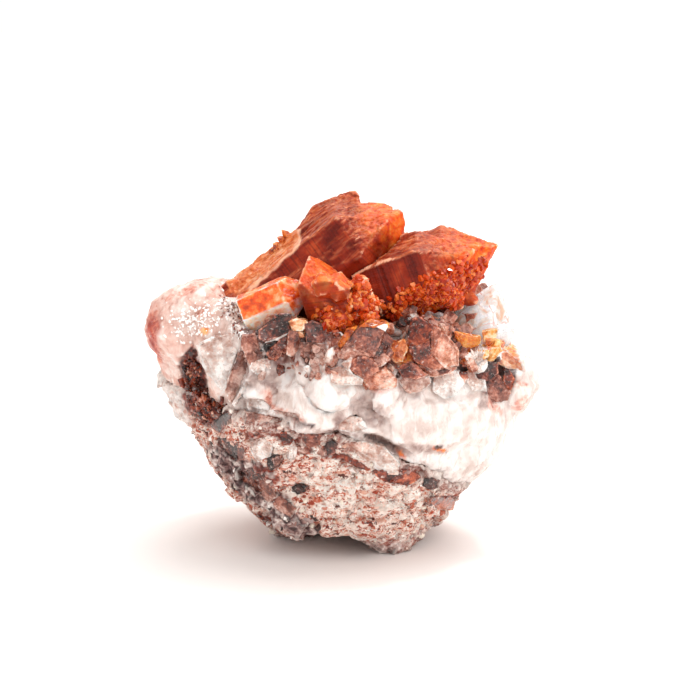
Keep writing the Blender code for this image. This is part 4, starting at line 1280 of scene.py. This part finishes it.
LIGHT_SIDE = (0.5, -0.85)  # to the right and up: each broken crystal is painted paler toward its foot, as light that comes through it
SHADING = 0.17
FACET_RINGS = ((0.3, 0.0), (0.0, 0.0), (-0.16, 0.16), (0.2, 2.6))  # mm inwards, and mm to the back
ABOVE, OUTSIDE = 90, 60  # mm from the middle of the foot: where rays to the surface start
BACKWARD = Vector((0, 1, 0))
DOWN = Vector((0, 0, -1))
crystal_faces = tree_of(left, right, centre, slab, clear)
rock_faces = tree_of(host, vein)


def front_foot(x, z, surface=vein_faces, others=crystal_faces):
    """(place, normal) where the front of the surface is at x and z, or None where others hide it."""
    start = Vector((x, -OUTSIDE, z))
    place, normal, _, distance = surface.ray_cast(start, BACKWARD)
    if place is None:
        return None
    hidden = others.ray_cast(start, BACKWARD)[3] if others else None
    return None if hidden and hidden < distance - 0.5 else (place, normal)

# %% [markdown]
# ## Druse
#
# The crystals of the druse are stubby, and most show only their ends, or the flat face that was
# left when they broke. Those that the eye finds on the front are the facets of the list above, and
# smaller crystals fill the gaps and the top. Each of these is as pale and as rusty as the facet
# nearest to it, give or take a little, because iron oxide stains a whole area. The last ones cover
# the hollow behind the front.

# %% Druse
FRONT_CRYSTALS, ALL_CRYSTALS, WITH_HOLLOWS = 260, 560, 790
FAN_FOOT = (23.2, 36.2)  # x and z
FAN = [(angle, 0.3 + 0.012 * (angle % 7)) for angle in range(60, 186, 7)]  # angle, radius
facet_middles = np.array([np.reshape(f[-1], (-1, 2)).mean(axis=0) for f in FACETS.values()])
facet_tones = np.array([f[2:4] for f in FACETS.values()])


def tones_near(x, z, rng):
    """(pale, rusty) like those of the nearest facet."""
    nearest = np.linalg.norm(facet_middles - (x, z), axis=1).argmin()
    pale, rusty = facet_tones[nearest] + rng.normal(0, (0.12, 0.05))
    return float(np.clip(pale, 0.05, 0.95)), float(np.clip(rusty, 0, 1))


flats = Scatter("broken_crystals_of_the_druse", seed=13)
for entry in FACETS.values():
    flats.facet(*entry)
druse = Scatter("druse_of_small_crystals", seed=17, rimmed=True)
for angle, radius in FAN:
    a = math.radians(angle)
    found = front_foot(FAN_FOOT[0] + 0.6 * math.cos(a), FAN_FOOT[1] + 0.5 * math.sin(a))
    if found:
        length = 2.6 + 0.9 * math.sin(a)
        druse.grow(found[0], axis_of(angle, 34), radius, length, pale=0.9, rusty=0.1)
while len(druse.points) < FRONT_CRYSTALS:
    x, z = druse.rng.uniform(-16.5, 29.0), druse.rng.triangular(33.0, 39.0, 44.5)
    found = front_foot(x, z)
    in_cavity = 6.0 < x < 19.0 and z > (41.2 if x < 11.6 else 42.4)
    before_clear = x > 18 and z > 38.5
    if found and not in_cavity and not before_clear:
        lean = Vector(druse.rng.normal(0, 0.4, 3)) + Vector((0, 0, 0.8)) + found[1]
        radius = 0.3 + 0.9 * druse.rng.random() ** 2
        pale, rusty = tones_near(x, z, druse.rng)
        length = radius * druse.rng.uniform(1.1, 1.9)
        druse.grow(found[0], lean.normalized(), radius, length, pale=pale, rusty=rusty)
while len(druse.points) < ALL_CRYSTALS:
    start = Vector((druse.rng.uniform(-18, 30), druse.rng.uniform(-18, 24), ABOVE))
    place, normal, _, _ = vein_faces.ray_cast(start, DOWN)
    in_hollow = start.x > 17 and start.y < -2 or start.x > 5.5 and start.y < -8
    if place and place.z > 34 and not in_hollow and not crystal_faces.ray_cast(start, DOWN)[0]:
        lean = normal + Vector(druse.rng.normal(0, 0.35, 3)) + Vector((0, 0, 0.5))
        radius = 0.6 + 1.7 * druse.rng.random() ** 2
        length = radius * druse.rng.uniform(1.1, 2.0)
        pale, rusty = druse.rng.uniform((0.3, 0.0), (0.8, 0.35))
        druse.grow(place, lean.normalized(), radius, length, pale=pale, rusty=rusty)
while len(druse.points) < WITH_HOLLOWS:
    from_right = len(druse.points) % 3 == 0
    start = Vector((druse.rng.uniform(6.5, 23.0), druse.rng.uniform(-18.5, -1.5), ABOVE))
    if from_right:
        start.x, start.z = 34.0, druse.rng.uniform(37.0, 44.0)
    place, normal, _, _ = vein_faces.ray_cast(start, Vector((-1, 0, 0)) if from_right else DOWN)
    if place and place.z > 36 and 6.5 < place.x < 23.5:
        lean = normal + Vector(druse.rng.normal(0, 0.4, 3)) + Vector((0, -0.3, 0.5))
        radius = 0.6 + 1.0 * druse.rng.random() ** 2
        pale, rusty = druse.rng.uniform((0.2, 0.1), (0.75, 0.45))
        druse.grow(place, lean.normalized(), radius, radius * 1.4, 0.4, pale, rusty)

# %% [markdown]
# ## Dark hollow at the left
#
# Between the lobe and the host rock lies a hollow full of dark red grains, with a few pale and
# nearly black ones among them. A row of larger grains stands along the crevice across it.

# %% Grains in the dark hollow
HOLLOW_GRAINS, CREVICE_GRAINS = 420, 64
CREVICE = np.array(((-27.6, -10.6, 30.6), (-20.6, -15.8, 27.6)))  # its two ends

for _ in range(HOLLOW_GRAINS):
    corners = np.reshape(WEDGE[druse.rng.integers(2)], (-1, 2))
    x, z = druse.rng.dirichlet(np.ones(len(corners))) @ corners
    found = front_foot(x, z, rock_faces)
    if found:
        kind = druse.rng.random()
        pale, rusty = (0.2, 0.6) if kind < 0.74 else (0.62, 0.5) if kind < 0.84 else (0.02, 0.4)
        lean = found[1] + Vector(druse.rng.normal(0, 0.7, 3))
        radius = 0.18 + 0.5 * druse.rng.random() ** 2
        druse.grow(found[0], lean.normalized(), radius, radius, 0.5, pale, rusty)
for share in np.linspace(0, 1, CREVICE_GRAINS):
    place = CREVICE[0] + share * (CREVICE[1] - CREVICE[0]) + druse.rng.normal(0, (0.4, 0.6, 0.35))
    lean = Vector(druse.rng.normal((-0.3, -1, 0), 0.6))
    one_in_five = share * (CREVICE_GRAINS - 1) % 5 < 1
    pale, rusty = (0.55, 0.5) if one_in_five else (0.2, 0.6)
    druse.grow(place, lean.normalized(), druse.rng.uniform(0.4, 0.8), 0.8, 1.0, pale, rusty)

# %% [markdown]
# ## Smoky quartz
#
# The small crystals are clear, smoky or stained by iron, and one material does for all of them.
# Each one carries how pale and how rusty it is. Veils, specks and dark threads change that from
# place to place, painted glints and a painted highlight along the edges lighten it, and light passes
# through the pale ones.

# %% Smoky quartz
smoky, add, shader, place = new_material("smoky quartz, grown")
veils = add("noise", place, 1 / 2.4, 4, 0.55, 0.2)
specks = add("noise", place, 1 / 0.5, 4, 0.6)
stored_pale, stored_rusty, stored_edge_highlights = (
    add("stored", attribute_name=name) for name in ("pale", "rusty", "rim")
)
# painted highlight along the edges of each crystal and of each facet's bevel
rim = add("range", add("noise", place, 1 / 0.9, 3, 0.55), 0.45, 0.6)
rim = add("MULTIPLY", add("MULTIPLY", stored_edge_highlights, rim), 0.28)
pale = add("ADD", stored_pale, add("range", veils, 0.35, 0.65, -0.15, 0.15))
pale = add("ADD", pale, add("range", specks, 0.35, 0.65, -0.13, 0.11))
pale = add("ADD", pale, rim)
rust_noise = add("range", add("noise", place, 1 / 1.3, 3, 0.55), 0.4, 0.65, -0.02, 0.16)
colours = tones(add, pale, add("ADD", stored_rusty, rust_noise))
threads = add("noise", place, 1 / 0.55, 5, 0.7, 0.6)
# painted glints: thin pale threads
painted_glints = add("range", threads, 0.58, 0.68, 0, 0.6)
colours = add("mix", painted_glints, colours, colour("#f7e6dd"))
dark_threads = add("range", threads, 0.42, 0.33, 0, 0.6)
dark_threads = add("MULTIPLY", dark_threads, add("range", stored_rusty, 0.5, 1, 1, 0.2))
colours = add("mix", dark_threads, colours, colour("#40201a"))
passing = add("range", veils, 0.4, 0.6, 0.45, 0.1)
passing = add("MULTIPLY", passing, add("range", stored_pale, 0.1, 0.5, 0.1, 1))
roughness = add("range", veils, 0.35, 0.65, 0.1, 0.4)
stone(shader, colours, roughness, (specks, 0.05), 0.5, **{"Transmission Weight": passing})
druse.finish(smoky, "clear_quartz")

# %% [markdown]
# ## Uneven faces on the broken crystals
#
# Quartz has no flat cleavage. It breaks in shells and steps, so even its flattest broken face is a
# little wavy. The faces of the facets are divided, and each point moves by a step and a hollow.

# %% Uneven faces
def uneven(made, seed, levels=2):
    """Divides the faces of the crystals and breaks them into small plates and hollows."""
    finer = made.modifiers.new("finer", "SUBSURF")
    finer.subdivision_type = "SIMPLE"
    finer.levels = finer.render_levels = levels
    use_result(made)
    bumpy = Piece(made)
    plates = np.floor(2.5 * rough(bumpy.points, 2.4, seed=seed, octaves=2)) / 2.5
    hollows = broken(bumpy.points, 1.6, 1.0, seed=seed + 1)
    bumpy.move(0.2 * plates + 0.2 * hollows + 0.04 * rough(bumpy.points, 0.5, seed=seed + 3))
    made.data.shade_smooth()
    made.data.set_sharp_from_angle(angle=math.radians(28))


uneven(flats.finish(smoky, "clear_quartz"), seed=19)

# %% [markdown]
# ## Crusts
#
# The undersides of the large red crystals carry a crust of crystals about a millimetre across, as
# red as they are. A band of clear sugary crystals lies between the lobe at the left and the orange
# crystal, and single white ones on the lobe are painted glints. Each stands about square on what is
# below it.


# %% Crusts
def crust(name, faces, spots, size, seed):
    """Small crystals on the front of some faces, in spots.

    A spot is (x, z, half width, half height, turn, count, darkest and palest tone).
    """
    made = Scatter(name, seed)
    for x, z, wide, high, turn, count, *tints in spots:
        a = math.radians(turn)
        for _ in range(count):
            s, t = made.rng.normal(0, 0.45, 2).clip(-1, 1)
            u, v = s * wide, t * high
            at_x, at_z = x + u * math.cos(a) - v * math.sin(a), z + u * math.sin(a) + v * math.cos(a)
            found = front_foot(at_x, at_z, faces, None)
            if found:
                lean = found[1] + Vector(made.rng.normal(0, 0.4, 3)) + Vector((0, 0, -0.15))
                radius = made.rng.uniform(*size)
                length = radius * made.rng.uniform(0.9, 1.6)
                made.grow(found[0], lean.normalized(), radius, length, pale=made.rng.uniform(*tints))
    return made


right_crust = crust(
    "crust_of_the_right_crystal",
    tree_of(right),
    ((16.5, 47.2, 9.5, 3.6, 24, 900, 0, 0.9),),
    (0.25, 0.75),
    seed=41,
)
centre_crust = crust(
    "crust_of_the_centre_crystal",
    tree_of(centre),
    ((4.0, 47.5, 2.9, 4.0, 0, 330, 0.2, 1), (-0.4, 43.6, 4.4, 1.9, -10, 260, 0.1, 0.9)),
    (0.3, 0.85),
    seed=43,
)
sugar = crust(
    "sugary_crystals",
    vein_faces,
    (
        (-20.2, 46.0, 1.6, 2.6, 10, 130, 0, 1),
        (-18.2, 42.6, 1.3, 2.6, 14, 130, 0, 1),
        (-16.4, 39.6, 0.9, 2.2, 10, 70, 0, 1),
        # white grains on the lobe: painted glints
        (-25.6, 42.4, 5.8, 3.6, 12, 230, 0.7, 0.9),
    ),
    (0.1, 0.34),
    seed=47,
)

# %% [markdown]
# ## Amber crystals
#
# At the left foot of the left group stand a few small crystals with only a little iron in them,
# so they are amber. Each leans out to the left.

# %% Amber crystals
AMBER = (  # foot, direction, radius, length
    ((-12.6, 0.6, 52.2), (-0.7, -0.2, 0.7), 0.8, 1.5), ((-11.6, 0.6, 53.4), (-0.8, -0.2, 0.5), 0.9, 1.6),
    ((-10.7, 0.6, 54.6), (-0.8, -0.1, 0.6), 0.9, 1.7), ((-10.2, 0.6, 55.8), (-0.7, 0, 0.8), 0.7, 1.4),
    ((-11.2, 0.4, 52.8), (-0.5, -0.5, 0.6), 0.7, 1.2),
)
amber = Scatter("amber_crystals_at_the_left_foot", seed=45, rimmed=True)
for foot, direction, radius, length in AMBER:
    direction = Vector(direction).normalized()
    amber.grow(foot, direction, radius, length, pale=amber.rng.uniform(0.4, 0.55), rusty=0.9)
amber.finish(smoky, "orange_quartz")

# %% Colours of the crusts
red_crust, add, shader, _ = new_material("hematite quartz, small crystals")
crust_colours = ((0.0, "#98200a"), (0.35, "#bf3a0e"), (0.7, "#df5c1c"), (0.9, "#f08443"), (1.0, "#ffd4b4"))
colours = add("ramp", add("stored", attribute_name="pale"), crust_colours)
stone(shader, colours, 0.16, None, 0.3, 0.25, (1.2, 0.3, 0.1))
for made in (right_crust, centre_crust):
    made.finish(red_crust, "red_quartz")

sugar_quartz, add, shader, _ = new_material("clear quartz, small crystals")
sugar_colours = (
    (0.0, "#6b423a"), (0.16, "#a07468"), (0.32, "#cdb0a6"),
    (0.5, "#efe0d9"), (0.7, "#fffcf9"), (0.95, "#a14a34"),
)
colours = add("steps", add("stored", attribute_name="pale"), sugar_colours)
stone(shader, colours, 0.12, None, 0.6)
sugar.finish(sugar_quartz, "clear_quartz")

# %% [markdown]
# ## Fragments in the host rock
#
# Dark grey fragments of smoky quartz, 2 to 6 mm long, are set in the breccia, and one pale lens
# of quartz, 9 mm long. Each is a broken crystal that lies nearly flat in the surface, so only its
# upper facets show.

# %% Fragments
FRAGMENTS = (  # x, z, radius, length, turn in the face of the rock, how pale
    (-3.4, 21.2, 1.1, 1.6, 10, 0.6), (-10, 20, 0.9, 1.6, 20, 0.4), (-18.6, 18.6, 0.9, 2.4, -40, 0.15),
    (9.8, 15.8, 0.8, 1.4, 0, 0.2), (-6.4, 21.8, 0.8, 1.4, 0, 0.5), (-8.4, 22.8, 0.9, 2.2, 85, 0.9),
    (-12.8, 22.4, 1, 2, 20, 0.85), (-24.2, 26.4, 0.8, 1.2, 20, 0.06), (-26, 29.4, 0.8, 1.2, 70, 0.05),
    (2.6, 18.2, 0.8, 1.4, -20, 0.85),
)

fragments = Scatter("fragments_of_smoky_quartz", seed=29, rimmed=True)
for entry in ROCK_FACETS.values():
    fragments.facet(*entry)
for x, z, radius, length, turn, tint in FRAGMENTS:
    found = front_foot(x, z, rock_faces, None)
    if found:
        place, normal = found
        a = math.radians(turn)
        lie = Vector((math.cos(a), 0, math.sin(a)))
        lie = (lie - normal * lie.dot(normal)).normalized() + normal * 0.2
        foot = place - lie * length * 0.45 - normal * radius * 0.25
        fragments.grow(foot, lie, radius, length, 0.2, tint, 0.05)
uneven(fragments.finish(smoky, "clear_quartz"), seed=31, levels=1)

# %% [markdown]
# ## Grains of the breccia
#
# Where the rock broke, its harder grains stand out of the surface. Rays from all round toward its
# middle find the places. In the darker band at the left more of the grains are grey and maroon.

# %% Grains
GRAINS = 1700
GRAIN_HEART = Vector((0, 0, 14))
dark_band = np.array([oval[:2] for oval in MAUVE])

rock_grains = Scatter("grains_of_the_breccia", seed=83)
only_host = tree_of(host)
while len(rock_grains.points) < GRAINS:
    outward = Vector(rock_grains.rng.normal(0, 1, 3)).normalized()
    place, normal, _, _ = only_host.ray_cast(GRAIN_HEART + outward * OUTSIDE, -outward)
    if place and place.z > 1.0 and not (place.x < -27 and place.z > 18):
        away = np.linalg.norm(dark_band - (place.x, place.z), axis=1).min()
        in_band = place.y < FRONT and rock_grains.rng.random() > away / 7.0
        pale = rock_grains.rng.uniform(0.64, 1.0) if in_band else rock_grains.rng.uniform(0.0, 0.86)
        radius = 0.14 + (0.6 if in_band else 0.4) * rock_grains.rng.random() ** 2
        lean = normal + Vector(rock_grains.rng.normal(0, 0.8, 3))
        on_fragment = max(inside_of(np.array([place]), f[-1])[0] for f in ROCK_FACETS.values()) > -0.3
        if not (on_fragment and place.y < FRONT):
            rock_grains.grow(place, lean.normalized(), radius, radius, 0.9, pale)

grain_stone, add, shader, place = new_material("feldspar and quartz grains, broken")
grain_colours = (
    (0.0, "#fbf4ea"), (0.16, "#ece2d2"), (0.3, "#f3dccf"), (0.42, "#dcb19d"), (0.52, "#b5614a"),
    (0.6, "#e4d3c9"), (0.68, "#8f6a62"), (0.76, "#fffaf4"), (0.86, "#32201f"), (0.94, "#a99490"),
)
colours = add("steps", add("stored", attribute_name="pale"), grain_colours)
flecks = add("noise", place, 1 / 0.4, 4, 0.65)
colours = add("mix", add("range", flecks, 0.5, 0.66, 0.0, 0.45), colours, colour("#c08a78"))
stone(shader, colours, add("range", flecks, 0.3, 0.7, 0.3, 0.7), (flecks, 0.08), 0.4)
rock_grains.finish(grain_stone, "host_rock")
